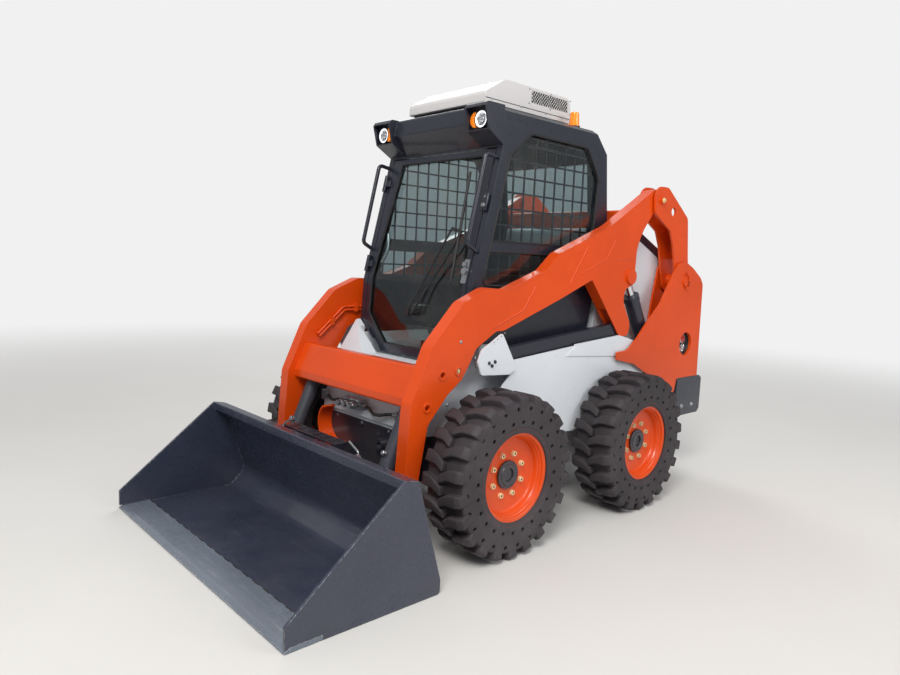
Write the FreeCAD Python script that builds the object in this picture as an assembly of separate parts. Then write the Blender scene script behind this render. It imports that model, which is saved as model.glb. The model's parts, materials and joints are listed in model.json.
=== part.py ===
import FreeCAD, Part
import math
import os

os.makedirs("parts", exist_ok=True)
V = FreeCAD.Vector

# Skid steer loader with a vertical-lift arm. Millimetres, +Z up, the machine faces -Y and +X is its left.
# Everything is laid out with the rear axle at y = 0 and the ground at z = 0, and save() moves it so that
# the origin is the middle of the footprint. Side outlines are lists of (y, z, corner radius).

# Ground line and wheels
wheelbase = 1075.0
tyre_radius = 386.0
tyre_width = 250.0
tread_depth = 33.0
lugs_per_side = 22
rim_flange_radius = 228.0
rim_seat_radius = 205.0
rim_face_inset = 12.0
rim_taper = 13.0
wheel_disc_inset = 69.0
stud_circle_radius = 101.5
stud_count = 8
hub_cap_radius = 67.0
spindle_radius = 30.0
running_gap = 0.05

# Widths, each given as a distance from the centre plane
chassis_half_width = 452.0
cab_side_step = 2.0
arm_gap = 43.0
arm_width = 70.0
tyre_gap = 23.0
bucket_overhang = 25.0
link_clearance = 6.0
link_plate = 13.0
upright_plate = 12.0
side_gap = 10.0

# Pins of the lift linkage, as (y, z) at rest
control_link_front_pin = (-930.0, 895.0)
control_link_rear_pin = (105.0, 1003.0)
rear_link_lower_pin = (716.0, 1286.0)
rear_link_upper_pin = (385.0, 1770.0)
lift_cylinder_base_pin = (554.0, 606.0)
lift_cylinder_rod_pin = (134.0, 1306.0)
bucket_pin = (-1500.0, 200.0)
tilt_cylinder_base_pin = (-1335.0, 800.0)
tilt_cylinder_rod_pin = (-1545.0, 310.0)
link_pin_radius = 22.0
control_pin_radius = 20.0
cylinder_pin_radius = 22.0
tilt_pin_radius = 17.0

# Cylinders
lift_bore_radius = 45.0
lift_rod_radius = 25.0
tilt_bore_radius = 36.0
tilt_rod_radius = 19.0
tilt_cylinder_inset = 85.0
eye_width = 44.0
tilt_eye_width = 40.0
tube_radius = 7.0

# Bucket
bucket_lip_y = -2272.0
bucket_plate = 12.0
cutting_edge_thickness = 20.0
cutting_edge_depth = 152.0

# Chassis and body
chassis_front_y = -1330.0
chassis_rear_y = 920.0
chassis_bottom_z = 215.0
chassis_top_z = 925.0
chassis_wall = 52.0
front_bevel = (55.0, 121.0)
guard_top_z = 520.0
guard_plate = 8.0
crossbar = (147.0, 540.0, 575.0, 15.0)
counterweight_rear_y = 1020.0
tail_lamp_centre = (770.0, 882.0)
tail_lamp_radius = 75.0
tie_down_inset = 62.0
tie_down_eye = (957.0, 362.0)
tie_down_radius = 15.0
fender_plate = 10.0
fender_foot_z = 456.0
fender_band = 4.0
fender_tyre_gap = 12.0

# Cab
cab_wall = 30.0
door_thickness = 34.0
door_gap = 6.0
glass_thickness = 6.0
door_hinge_inset = 24.0
door_hinge_out = 13.0
door_hinge_radius = 12.0
door_pin_radius = 6.0
door_hinge_heights = (1320.0, 1780.0)
gate_hinge_inset = 12.0
gate_hinge_y = 968.0
gate_hinge_heights = (770.0, 1080.0)
roof_z = 2115.0
roof_unit_inset = 150.0
roof_unit_gap = 43.0
lamp_back_y = -968.0
window_bar = (1408.0, 1460.0)
guard_pitch = 82.0
guard_bar = 9.0
roof_unit_top_z = 2294.0

arm_inner_x = chassis_half_width + arm_gap
arm_outer_x = arm_inner_x + arm_width
arm_centre_x = arm_inner_x + arm_width / 2
tower_x = arm_outer_x + 2 * link_clearance + link_plate
tower_outer_x = tower_x + upright_plate
tyre_inner_x = arm_outer_x + tyre_gap
tyre_outer_x = tyre_inner_x + tyre_width
bucket_half_width = tyre_outer_x + bucket_overhang
fender_x = tyre_inner_x - fender_tyre_gap - fender_plate
tilt_cylinder_x = arm_inner_x - tilt_cylinder_inset
cab_half_width = chassis_half_width - cab_side_step
door_hinge_x = -(cab_half_width - door_hinge_inset)
gate_hinge_x = chassis_half_width - gate_hinge_inset
tie_down_x = chassis_half_width - tie_down_inset
chassis_inside = chassis_half_width - chassis_wall
roof_unit_half_width = cab_half_width - roof_unit_inset
wheel_centre_x = tyre_inner_x + tyre_width / 2
front_axle_y = -wheelbase
origin_shift = -(bucket_lip_y + counterweight_rear_y) / 2


def save(node, solids):
    """Write one node, moved so that the origin is the middle of the footprint."""
    shape = Part.makeCompound(solids) if len(solids) > 1 else solids[0]
    shape.translate(V(0, origin_shift, 0))
    shape.exportStep("parts/%s.step" % node)


def outline(corners):
    """A closed face in the plane x = 0 from (y, z, radius) corners, with tangent arcs at the corners."""
    count = len(corners)
    starts, ends, middles = [], [], []
    for i in range(count):
        y0, z0 = corners[i - 1][:2]
        y1, z1, radius = corners[i]
        y2, z2 = corners[(i + 1) % count][:2]
        before = V(0, y0 - y1, z0 - z1)
        after = V(0, y2 - y1, z2 - z1)
        before.normalize()
        after.normalize()
        corner = V(0, y1, z1)
        half = before.getAngle(after) / 2
        if radius <= 0 or abs(half - math.pi / 2) < 1e-4:
            starts.append(corner)
            ends.append(corner)
            middles.append(None)
            continue
        tangent = radius / math.tan(half)
        bisector = before + after
        bisector.normalize()
        centre = corner + bisector * (radius / math.sin(half))
        starts.append(corner + before * tangent)
        ends.append(corner + after * tangent)
        middles.append(centre - bisector * radius)
    edges = []
    for i in range(count):
        if middles[i] is not None:
            edges.append(Part.Arc(starts[i], middles[i], ends[i]).toShape())
        nxt = (i + 1) % count
        if ends[i].distanceToPoint(starts[nxt]) > 1e-3:
            edges.append(Part.makeLine(ends[i], starts[nxt]))
    return Part.Face(Part.Wire(edges))


def plate(corners, x0, x1):
    """A side outline made solid between two planes across the machine."""
    face = outline(corners)
    face.translate(V(x0, 0, 0))
    return face.extrude(V(x1 - x0, 0, 0))


def block(x0, x1, y0, y1, z0, z1):
    return Part.makeBox(x1 - x0, y1 - y0, z1 - z0, V(x0, y0, z0))


def cross_rod(pin, radius, x0, x1):
    """A round bar across the machine at a (y, z) pin."""
    return Part.makeCylinder(radius, x1 - x0, V(x0, pin[0], pin[1]), V(1, 0, 0))


def rod(start, end, radius):
    axis = end - start
    return Part.makeCylinder(radius, axis.Length, start, axis)


def mirrored(shape):
    return shape.mirror(V(0, 0, 0), V(1, 0, 0))


def both_sides(shapes):
    return shapes + [mirrored(s) for s in shapes]


def fuse(shapes):
    result = shapes[0].multiFuse(shapes[1:]) if len(shapes) > 1 else shapes[0]
    return result.removeSplitter()


def cut(shape, tools):
    return shape.cut(Part.makeCompound(tools)) if tools else shape


def solids_of(shape):
    return list(shape.Solids)


def bent_bar(points, radius, bend):
    """A round bar of straight runs joined by round elbows."""
    pieces = []
    last = points[0]
    for i in range(1, len(points) - 1):
        corner = points[i]
        before = points[i - 1] - corner
        after = points[i + 1] - corner
        before.normalize()
        after.normalize()
        half = before.getAngle(after) / 2
        tangent = bend / math.tan(half)
        bisector = before + after
        bisector.normalize()
        start = corner + before * tangent
        centre = corner + bisector * (bend / math.sin(half))
        section = Part.Face(Part.Wire(Part.makeCircle(radius, start, before)))
        turn = 180.0 - 2 * math.degrees(half)
        pieces.append(rod(last, start, radius))
        pieces.append(section.revolve(centre, after.cross(before), turn))
        last = corner + after * tangent
    pieces.append(rod(last, points[-1], radius))
    return fuse(pieces)


def turned(profile):
    """A body of revolution about the X axis from (x, radius) corners."""
    points = [V(x, 0, r) for x, r in profile]
    face = Part.Face(Part.makePolygon(points + [points[0]]))
    return face.revolve(V(0, 0, 0), V(1, 0, 0), 360)


def faceted_ring(profile, sides):
    """A ring of flat facets about the X axis from a closed profile of (x, radius) corners."""
    def corner(point, i):
        a = 2 * math.pi * (i % sides + 0.5) / sides
        return V(point[0], point[1] * math.sin(a), point[1] * math.cos(a))

    faces = []
    for k in range(len(profile)):
        here, after = profile[k], profile[(k + 1) % len(profile)]
        for i in range(sides):
            quad = [corner(here, i), corner(here, i + 1), corner(after, i + 1), corner(after, i)]
            faces.append(Part.Face(Part.makePolygon(quad + [quad[0]])))
    shell = Part.Shell(faces)
    shell.sewShape()
    solid = Part.Solid(shell)
    if solid.Volume < 0:
        solid.reverse()
    return solid


def tyre():
    """A solid tyre about the X axis: a many-sided casing with two rows of slanting lugs, half a pitch apart."""
    casing_radius = tyre_radius - tread_depth
    half = tyre_width / 2
    seat = rim_seat_radius + 3.0
    seat_half = half - rim_face_inset - rim_taper
    bead = rim_flange_radius + 7.0
    casing = faceted_ring([(-seat_half, seat), (-half + 10, bead), (-half + 6, casing_radius),
                           (half - 6, casing_radius), (half - 10, bead), (seat_half, seat)], lugs_per_side)
    pitch = 2 * math.pi * tyre_radius / lugs_per_side
    # a lug seen from outside: (distance from the middle, distance along the tread as a share of the pitch)
    lug_plan = [(half - 1, -0.40), (half - 1, 0.06), (-8.0, 0.40), (-8.0, 0.12)]
    top = math.sqrt(tyre_radius ** 2 - (0.40 * pitch) ** 2)
    foot = casing_radius - 12.0
    lugs = []
    for row, mirror_x in ((0, 1.0), (1, -1.0)):
        corners = [V(x * mirror_x, t * pitch, foot) for x, t in lug_plan]
        lug = Part.Face(Part.makePolygon(corners + [corners[0]])).extrude(V(0, 0, top - foot))
        for i in range(lugs_per_side):
            copy = lug.copy()
            copy.rotate(V(0, 0, 0), V(1, 0, 0), 360.0 * (i + row * 0.5) / lugs_per_side)
            lugs.append(copy)
    return casing.multiFuse(lugs)


def wheel_rim():
    """A dished steel wheel about the X axis, face towards +X."""
    half = tyre_width / 2
    face = half - rim_face_inset
    disc = face - wheel_disc_inset
    profile = [(face, rim_flange_radius), (face, 218.0), (face - 14, 196.0), (face - 26, 192.0),
               (disc + 14, 186.0), (disc, 176.0), (disc, 60.0), (disc - 12, 60.0), (disc - 12, 180.0),
               (-face + 20, 192.0), (-face, 218.0), (-face, rim_flange_radius),
               (-face + rim_taper, rim_seat_radius), (face - rim_taper, rim_seat_radius)]
    rim = turned(profile)
    holes = []
    for i in range(stud_count):
        a = 2 * math.pi * (i + 0.5) / stud_count
        y, z = stud_circle_radius * math.sin(a), stud_circle_radius * math.cos(a)
        holes.append(cross_rod((y, z), 9.0, disc - 13, disc + 1))
    return cut(rim, holes)


def wheel_hub():
    """The turning hub: flange behind the disc, studs with nuts, and the cap with its centre hole."""
    disc = tyre_width / 2 - rim_face_inset - wheel_disc_inset
    flange = turned([(disc - 12, spindle_radius + running_gap), (disc - 12, 130.0), (disc - 26, 130.0),
                     (disc - 34, 85.0), (disc - 72, 85.0), (disc - 72, spindle_radius + running_gap)])
    cap = turned([(disc - 12, spindle_radius + running_gap), (disc - 12, 59.5), (disc + 2, 59.5),
                  (disc + 2, hub_cap_radius), (disc + 14, hub_cap_radius - 3), (disc + 18, 50.0),
                  (disc + 18, spindle_radius + running_gap)])
    studs = []
    for i in range(stud_count):
        a = 2 * math.pi * (i + 0.5) / stud_count
        y, z = stud_circle_radius * math.sin(a), stud_circle_radius * math.cos(a)
        studs.append(cross_rod((y, z), 8.0, disc - 12, disc + 16))
        studs.append(cross_rod((y, z), 14.0, disc, disc + 10))
    return fuse([flange, cap] + studs)


def wheels():
    """Four wheels from one tyre, rim and hub: (name, side, axle)."""
    pieces = {"tyre": tyre(), "rim": wheel_rim(), "hub": wheel_hub()}
    corners = [("front_left", 1, front_axle_y), ("front_right", -1, front_axle_y),
               ("rear_left", 1, 0.0), ("rear_right", -1, 0.0)]
    for name, side, axle_y in corners:
        for kind, shape in pieces.items():
            piece = shape.copy()
            piece.translate(V(wheel_centre_x, axle_y, tyre_radius))
            if side < 0:
                piece = mirrored(piece)
            save("%s_%s" % (kind, name), solids_of(piece))


def axle_housings():
    """Axle tubes from the chain cases to the hubs, with the spindles that the hubs turn on."""
    disc = wheel_centre_x + tyre_width / 2 - rim_face_inset - wheel_disc_inset
    end = disc - 77
    tubes = []
    for axle_y in (front_axle_y, 0.0):
        pin = (axle_y, tyre_radius)
        tube = cross_rod(pin, 62.0, chassis_half_width, end)
        flange = cross_rod(pin, 98.0, chassis_half_width, chassis_half_width + 22)
        collar = cross_rod(pin, 80.0, end - 26, end)
        spindle = cross_rod(pin, spindle_radius, end, disc + 6)
        tubes.append(fuse([tube, flange, collar, spindle]))
    save("axle_housings", both_sides(tubes))


# Cab outlines shared by the shell, the door and the chassis
cab_front = [(-1062.0, 825.0), (-1062.0, 1005.0), (-1048.0, 1235.0), (-880.0, 1928.0)]
cab_floor_z = 925.0
cab_chamfer = [(cab_half_width - 210.0, 830.0), (cab_half_width, 1005.0)]


def front_profile(inset):
    """The leaning front line of the cab moved inwards, as (y, z) points from the bottom up."""
    return [(y + inset, z) for y, z in cab_front]


def on_front(x, z, out):
    """A point at a height on the leaning upper front of the cab, moved out ahead of it."""
    low, high = cab_front[2], cab_front[3]
    dy, dz = high[0] - low[0], high[1] - low[1]
    length = math.hypot(dy, dz)
    y = low[0] + dy * (z - low[1]) / dz
    return V(x, y - out * dz / length, z + out * dy / length)


def leaning(shape, z):
    """Moves a shape drawn about an upright face at the origin onto the cab's leaning front at a height."""
    low, high = cab_front[2], cab_front[3]
    shape.rotate(V(0, 0, 0), V(1, 0, 0), -math.degrees(math.atan2(high[0] - low[0], high[1] - low[1])))
    shape.translate(on_front(0.0, z, 0.0))
    return shape


def door_hinge(z):
    """One hinge as (door half, cab half): a knuckle that turns on a pin held by two lugs."""
    x, out, r = door_hinge_x, door_hinge_out, door_hinge_radius
    centre = V(x, -out, 0)
    up = V(0, 0, 1)
    knuckle = Part.makeCylinder(r, 36, centre - up * 18, up)
    leaf = block(x, x + 44, -out, 0, -18, 18)
    bore = Part.makeCylinder(door_pin_radius + running_gap, 40, centre - up * 20, up)
    door_half = fuse([knuckle, leaf]).cut(bore)
    cab_half = [Part.makeCylinder(door_pin_radius, 92, centre - up * 46, up)]
    for low in (-46, 20):
        cab_half.append(Part.makeCylinder(r, 26, centre + up * low, up))
        cab_half.append(block(x - 18, x, -out, 0, low, low + 26))
    return leaning(door_half, z), leaning(fuse(cab_half), z)


def crossbar_block():
    """The bar across the front, as (inset from the side, bottom, top, depth)."""
    inset, low, high, depth = crossbar
    half = chassis_half_width - inset
    return block(-half, half, chassis_front_y - depth, chassis_front_y, low, high)


def chassis():
    """The welded lower frame: a deep tub with bevelled front corners, open behind over the engine."""
    front, rear, top, low = chassis_front_y, chassis_rear_y, chassis_top_z, chassis_bottom_z
    half, inside = chassis_half_width, chassis_inside
    shoulder = [(front, low + 90, 0), (front, 585, 0), (-1238, 775, 0), (-1092, 1000, 20), (-1068, 1000, 0),
                (-1068, top, 0), (rear, top, 0), (rear, 420, 0), (rear - 160, 300, 0), (rear - 360, low, 0),
                (front + 110, low, 0)]
    body = plate(shoulder, -half, half)
    well = block(-inside, inside, -1040, -150, 470, 1100)
    door_way = block(-inside, inside, -1100, -1000, 822, 1100)
    foot = cab_chamfer[0][0] - 4
    deck = plate([(-1400, 700, 0), (-1400, 1100, 0), (-1062, 1100, 0), (-1062, 822, 0), (-1215, 800, 0),
                  (-1300, 640, 0)], -foot, foot)
    bay = block(-inside, inside, -90, rear + 5, 300, 1100)
    corners = []
    for side in (1, -1):
        under_cab = [(side * (foot - 6), 824), (side * (half + 18), 1024), (side * (foot - 6), 1024)]
        corners.append(front_shape(under_cab, -1400, -1055))
        past_x, past_y = front_bevel[0] / 10, front_bevel[1] / 10
        bevel = [V(side * (half + past_x), front + front_bevel[1] + past_y, 0),
                 V(side * (half + past_x), front - past_y, 0),
                 V(side * (half - front_bevel[0] - past_x), front - past_y, 0)]
        corners.append(Part.Face(Part.makePolygon(bevel + [bevel[0]])).extrude(V(0, 0, 1100)))
    return fuse([cut(body, [well, door_way, deck, bay] + corners), crossbar_block()])


def front_guard():
    """The black plate round the front of the frame, with a tow boss and the heads of its two bolts."""
    half, front, t = chassis_half_width, chassis_front_y, guard_plate
    inner = [(half, front + front_bevel[1]), (half - front_bevel[0], front)]
    outer = [(half - front_bevel[0] + t * 0.6, front - t), (half + t, front + front_bevel[1])]
    plan = inner + outer
    left = [V(x, y, chassis_bottom_z + 90) for x, y in plan]
    side = Part.Face(Part.makePolygon(left + [left[0]])).extrude(V(0, 0, guard_top_z - chassis_bottom_z - 90))
    panel = block(-half + front_bevel[0], half - front_bevel[0], front - t, front, chassis_bottom_z + 90, guard_top_z)
    boss = Part.makeCylinder(30, 22, V(150, front - t - 22, 430), V(0, 1, 0))
    socket = Part.makeCylinder(14, 12, V(150, front - t - 22, 430), V(0, 1, 0))
    bolts = [Part.makeCylinder(10, 8, V(x, front - t - 8, 496), V(0, 1, 0)) for x in (-25, 220)]
    return [cut(fuse([panel, side, mirrored(side), boss] + bolts), [socket])]


def hose_guard():
    """A bent flat bar that stands out from the front plate and shields the hoses behind it."""
    points = [V(-272, 0, 560), V(-318, 0, 455), V(-163, 0, 370)]
    thickness = 10.0
    circle = Part.Circle(*points)
    inner = [circle.Center + (p - circle.Center) * ((circle.Radius - thickness) / circle.Radius) for p in points]
    edges = [Part.Arc(*points).toShape(), Part.makeLine(points[2], inner[2]),
             Part.Arc(inner[2], inner[1], inner[0]).toShape(), Part.makeLine(inner[0], points[0])]
    strip = Part.Face(Part.Wire(edges)).extrude(V(0, 82, 0))
    strip.translate(V(0, chassis_front_y - guard_plate - 82, 0))
    return solids_of(cut(strip, [crossbar_block()]))


# The coupler block spans these x values; the hose brackets stand on the crossbar and beside it
coupler_block = (-150.0, 0.0)
hose_brackets = {1: chassis_half_width - 155.0, -1: 102.0 - chassis_half_width}
hose_end = (chassis_front_y - 28.0, 603.0)
hose_radius = 8.0


def hydraulic_couplers():
    """The valve block on the crossbar with its three quick couplers, and a bracket for each hose's far end."""
    front, top = chassis_front_y, crossbar[2]
    y, z = hose_end
    valve = block(coupler_block[0], coupler_block[1], front - 44, front - 4, top, 628)
    pieces = [valve]
    for x in (-125, -75, -25):
        pieces.append(Part.makeCylinder(14, 56, V(x, front - 98, 603), V(0, 1, 0)))
        pieces.append(Part.makeCylinder(19, 16, V(x, front - 78, 603), V(0, 1, 0)))
    brackets = []
    for side, x in hose_brackets.items():
        foot = block(min(x, x + side * 8), max(x, x + side * 8), front - 44, front, top, 628)
        stub = Part.makeCylinder(12, 14, V(x, y, z), V(-side, 0, 0))
        brackets.append(fuse([foot, stub]))
    for x, direction in ((coupler_block[0], -1), (coupler_block[1], 1)):
        pieces.append(Part.makeCylinder(12, 14, V(x, y, z), V(direction, 0, 0)))
    return [fuse(pieces)] + brackets


def hose_points(side):
    """The route of a front hose from the coupler block to its bracket: straight out, down and forward, and back."""
    y, z = hose_end
    start = (coupler_block[1] if side > 0 else coupler_block[0]) + side * 14
    span = hose_brackets[side] - side * 14 - start
    out, down = -0.097 * abs(span), -0.063 * abs(span)
    rows = [(0.0, 0), (0.20, 0), (0.39, 1), (0.61, 1), (0.80, 0), (1.0, 0)]
    return [V(start + span * share, y + out * sag, z + down * sag) for share, sag in rows]


def hose(side):
    return [bent_bar(hose_points(side), hose_radius, 60)]


def fenders():
    """The tall side plates inside the wheels, with a raised band along the top and a shelf back to the chassis."""
    x0, x1 = fender_x, fender_x + fender_plate
    side = [(-868, 826, 0), (-872, 880, 10), (-372, 926, 4), (-366, 934, 4), (40, 966, 4), (178, 934, 40),
            (262, 900, 60), (330, 800, 200), (300, fender_foot_z, 60), (-1010, fender_foot_z, 40), (-985, 700, 80)]
    band = [(-448, 874, 0), (-372, 926, 0), (-366, 934, 4), (40, 966, 4), (178, 934, 40), (262, 900, 30),
            (262, 836, 0), (38, 845, 300)]
    panel = fuse([plate(side, x0, x1), plate(band, x1, x1 + fender_band)])
    shelf = block(chassis_half_width, x0, -860, 40, 822, 832)
    return both_sides([fuse([panel, shelf])])


def link_brackets():
    """Brackets that carry the front pins of the control links, each with its outer fin."""
    fin = [(-965, 1020, 12), (-880, 888, 10), (-864, 834, 8), (-902, 813, 8), (-1099, 824, 20),
           (-1125, 888, 20), (-1100, 946, 30), (-1036, 979, 20)]
    x0 = arm_centre_x + eye_width / 2 + 26
    outer = plate(fin, x0, x0 + 10)
    inner = plate([(-1010, 834, 10), (-1000, 950, 30), (-870, 950, 30), (-864, 834, 10)],
                  chassis_half_width, chassis_half_width + 12)
    web = block(chassis_half_width + 12, x0, -1000, -872, 833, 843)
    pin = cross_rod(control_link_front_pin, control_pin_radius, chassis_half_width + 12, x0)
    return both_sides([fuse([outer, inner, web, pin])])


def control_links():
    """The low flat links from the frame to the foot of each arm leg."""
    x0, x1 = arm_centre_x - eye_width / 2, arm_centre_x + eye_width / 2
    a, b = control_link_front_pin, control_link_rear_pin
    along = V(0, b[0] - a[0], b[1] - a[1])
    along.normalize()
    across = V(0, -along.z, along.y)
    half_front, half_rear = 38.0, 38.0
    pa, pb = V(0, a[0], a[1]), V(0, b[0], b[1])
    corners = []
    for point, half, sign in ((pa, half_front, 1), (pb, half_rear, 1), (pb, half_rear, -1), (pa, half_front, -1)):
        c = point + across * (half * sign)
        corners.append((c.y, c.z, 0))
    bar = plate(corners, x0, x1)
    link = fuse([bar, cross_rod(a, half_front, x0, x1), cross_rod(b, half_rear, x0, x1)])
    bores = [cross_rod(a, control_pin_radius + running_gap, x0 - 1, x1 + 1),
             cross_rod(b, control_pin_radius + running_gap, x0 - 1, x1 + 1)]
    return both_sides([cut(link, bores)])


arm_hole_centres = [(-1326.0, 841.0), (-1410.0, 700.0), (-1226.0, 852.0)]


def lift_arms():
    """Both arms with their legs, rear humps and the sloping front crossmember, welded into one frame."""
    h, e, b, d = bucket_pin, lift_cylinder_rod_pin, control_link_rear_pin, rear_link_upper_pin
    side = [(h[0] - 46, h[1] - 46, 45), (-1524, 430, 0), (-1503, 722, 60), (-1392, 975, 90),
            (-1212, 1166, 70), (-1050, 1236, 90), (-912, 1227, 60), (-640, 1325, 80), (-530, 1418, 40),
            (-90, 1588, 500), (318, 1822, 60), (d[0] + 6, d[1] + 72, 60), (d[0] + 72, d[1] - 8, 44),
            (356, 1715, 40), (237, 1580, 300), (182, 1476, 200), (e[0] + 46, e[1] + 40, 30),
            (e[0] + 44, e[1] - 42, 30), (92, 1232, 30), (72, 1165, 80), (b[0] + 54, b[1] + 30, 40),
            (b[0] + 46, b[1] - 46, 40), (b[0] - 46, b[1] - 46, 40), (-200, 1240, 0), (-240, 1283, 20),
            (-513, 1178, 60), (-935, 1028, 40), (-985, 1028, 40), (-1119, 950, 60), (-1155, 885, 40),
            (-1205, 810, 40), (-1290, 746, 60), (-1402, 620, 60), (-1445, 376, 0), (h[0] + 46, h[1] - 46, 45)]
    arm = plate(side, arm_inner_x, arm_outer_x)
    slot_half = eye_width / 2 + 5
    leg_slot = plate([(-150, 900, 0), (-150, 1120, 0), (4, 1120, 20), (8, 1240, 60), (70, 1366, 30), (260, 1366, 0),
                      (260, 900, 0)], arm_centre_x - slot_half, arm_centre_x + slot_half)
    bucket_bore = cross_rod(h, cylinder_pin_radius + running_gap, arm_inner_x - 1, arm_outer_x + 1)
    link_bore = cross_rod(d, link_pin_radius + running_gap, arm_inner_x - 1, arm_outer_x + 1)
    arm = cut(arm, [leg_slot, bucket_bore, link_bore])
    leg_pin = cross_rod(b, control_pin_radius, arm_inner_x + 2, arm_outer_x - 2)
    bosses = [cross_rod(e, 44.0, arm_outer_x, arm_outer_x + 14),
              cross_rod(e, 24.0, arm_inner_x + 4, arm_centre_x - eye_width / 2 - 1),
              cross_rod(e, 24.0, arm_centre_x + eye_width / 2 + 1, arm_outer_x - 4)]
    crossmember = plate([(-1395, 873, 14), (-1462, 729, 12), (-1462, 686, 12), (-1330, 680, 12),
                         (-1300, 860, 12)], -arm_inner_x, arm_inner_x)
    cross_beam = plate([(168, 1592, 16), (168, 1700, 16), (262, 1700, 16), (262, 1592, 16)], -arm_inner_x, arm_inner_x)
    t = tilt_cylinder_base_pin
    near, far = tilt_cylinder_x - 42, tilt_cylinder_x + 42
    tilt_pin = cross_rod(t, tilt_pin_radius, near, far)
    spacers = [cross_rod(t, 28.0, near, tilt_cylinder_x - tilt_eye_width / 2 - 1),
               cross_rod(t, 28.0, tilt_cylinder_x + tilt_eye_width / 2 + 1, far)]
    pocket = plate([(-1446, 640, 0), (-1404, 800, 20), (-1385, 846, 20), (-1240, 900, 0), (-1240, 640, 0)], near, far)
    crossmember = cut(crossmember, [pocket, mirrored(pocket)])
    rings, sockets = [], []
    for centre in arm_hole_centres:
        rings.append(cross_rod(centre, 24.0, arm_outer_x, arm_outer_x + 4))
        sockets.append(cross_rod(centre, 14.0, arm_outer_x - 26, arm_outer_x + 5))
    left = [cut(fuse([arm] + rings), sockets), leg_pin, tilt_pin] + bosses + spacers
    return fuse(both_sides(left) + [crossmember, cross_beam])


def arm_tubes():
    """Two steel hydraulic tubes along the inner face of each arm, with their clamps and rear end fittings."""
    # (y, z) of the lower tube from the rear fitting to the crossmember; the upper one runs beside it
    route = [(-168, 1256), (-250, 1268), (-513, 1171), (-925, 1022), (-1000, 1052), (-1150, 1052), (-1318, 905)]
    shift = [(0, 20), (4, 20), (-6, 19), (-4, 20), (-8, 19), (-8, 19), (-12, 14)]
    x = arm_inner_x - 12
    lower = [V(x, y, z) for y, z in route]
    upper = [V(x, y + dy, z + dz) for (y, z), (dy, dz) in zip(route, shift)]
    pieces = []
    for line in (lower, upper):
        pieces.append(bent_bar(line, tube_radius, 24))
        end = line[0] - line[1]
        end.normalize()
        pieces.append(Part.makeCylinder(11, 26, line[0] - end * 12, end))
    for y, z in ((-380, 1230), (-720, 1105), (-1075, 1062), (-1236, 987)):
        pieces.append(block(x - 9, arm_inner_x, y - 12, y + 12, z - 22, z + 26))
    return both_sides([fuse(pieces)])


def rear_links():
    """The upper rear links: each a fork of two plates round the arm's hump, joined by a rear web."""
    d, c = rear_link_upper_pin, rear_link_lower_pin
    x_in = arm_inner_x - side_gap - link_plate
    x_out = arm_outer_x + link_clearance
    side = [(322, 1690, 50), (d[0] - 78, d[1] + 80, 75), (d[0] + 72, d[1] + 82, 70), (712, 1684, 40),
            (748, 1440, 300), (c[0] + 74, c[1] - 66, 62), (c[0] - 74, c[1] - 66, 62), (588, 1400, 80),
            (562, 1500, 60), (515, 1592, 40)]
    outer = plate(side, x_out, x_out + link_plate)
    inner = plate(side, x_in, x_in + link_plate)
    window = cross_rod((533, 1712), 26.0, x_in - 1, x_out + link_plate + 1)
    web = plate([(650, 1700, 0), (706, 1662, 0), (742, 1440, 0), (700, 1425, 0), (668, 1560, 0), (610, 1640, 0)],
                x_in + link_plate, x_out)
    boss = cross_rod(c, 46.0, x_in + link_plate, x_out)
    washers = [cross_rod(d, 42.0, arm_outer_x + 1, x_out), cross_rod(d, 42.0, x_in + link_plate, arm_inner_x - 1)]
    pin = cross_rod(d, link_pin_radius, x_in, x_out + link_plate + 14)
    link = fuse([outer, inner, web, boss, pin] + washers)
    return both_sides([cut(link, [window])])


def gate_hinge(z):
    """One tailgate hinge as (gate half, frame half)."""
    x, y = gate_hinge_x, gate_hinge_y
    up = V(0, 0, 1)
    knuckle = Part.makeCylinder(11, 40, V(x, y, z - 20), up)
    leaf = block(x - 46, x, y - 12, y, z - 20, z + 20)
    bore = Part.makeCylinder(6 + running_gap, 44, V(x, y, z - 22), up)
    gate_half = fuse([knuckle, leaf]).cut(bore)
    frame_half = [Part.makeCylinder(6, 92, V(x, y, z - 46), up)]
    for low in (z - 46, z + 22):
        frame_half.append(Part.makeCylinder(11, 24, V(x, y, low), up))
        frame_half.append(block(x, x + 24, y - 8, y + 4, low, low + 24))
        frame_half.append(block(x + 12, x + 24, y - 40, y + 4, low, low + 24))
    return gate_half, fuse(frame_half)


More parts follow.
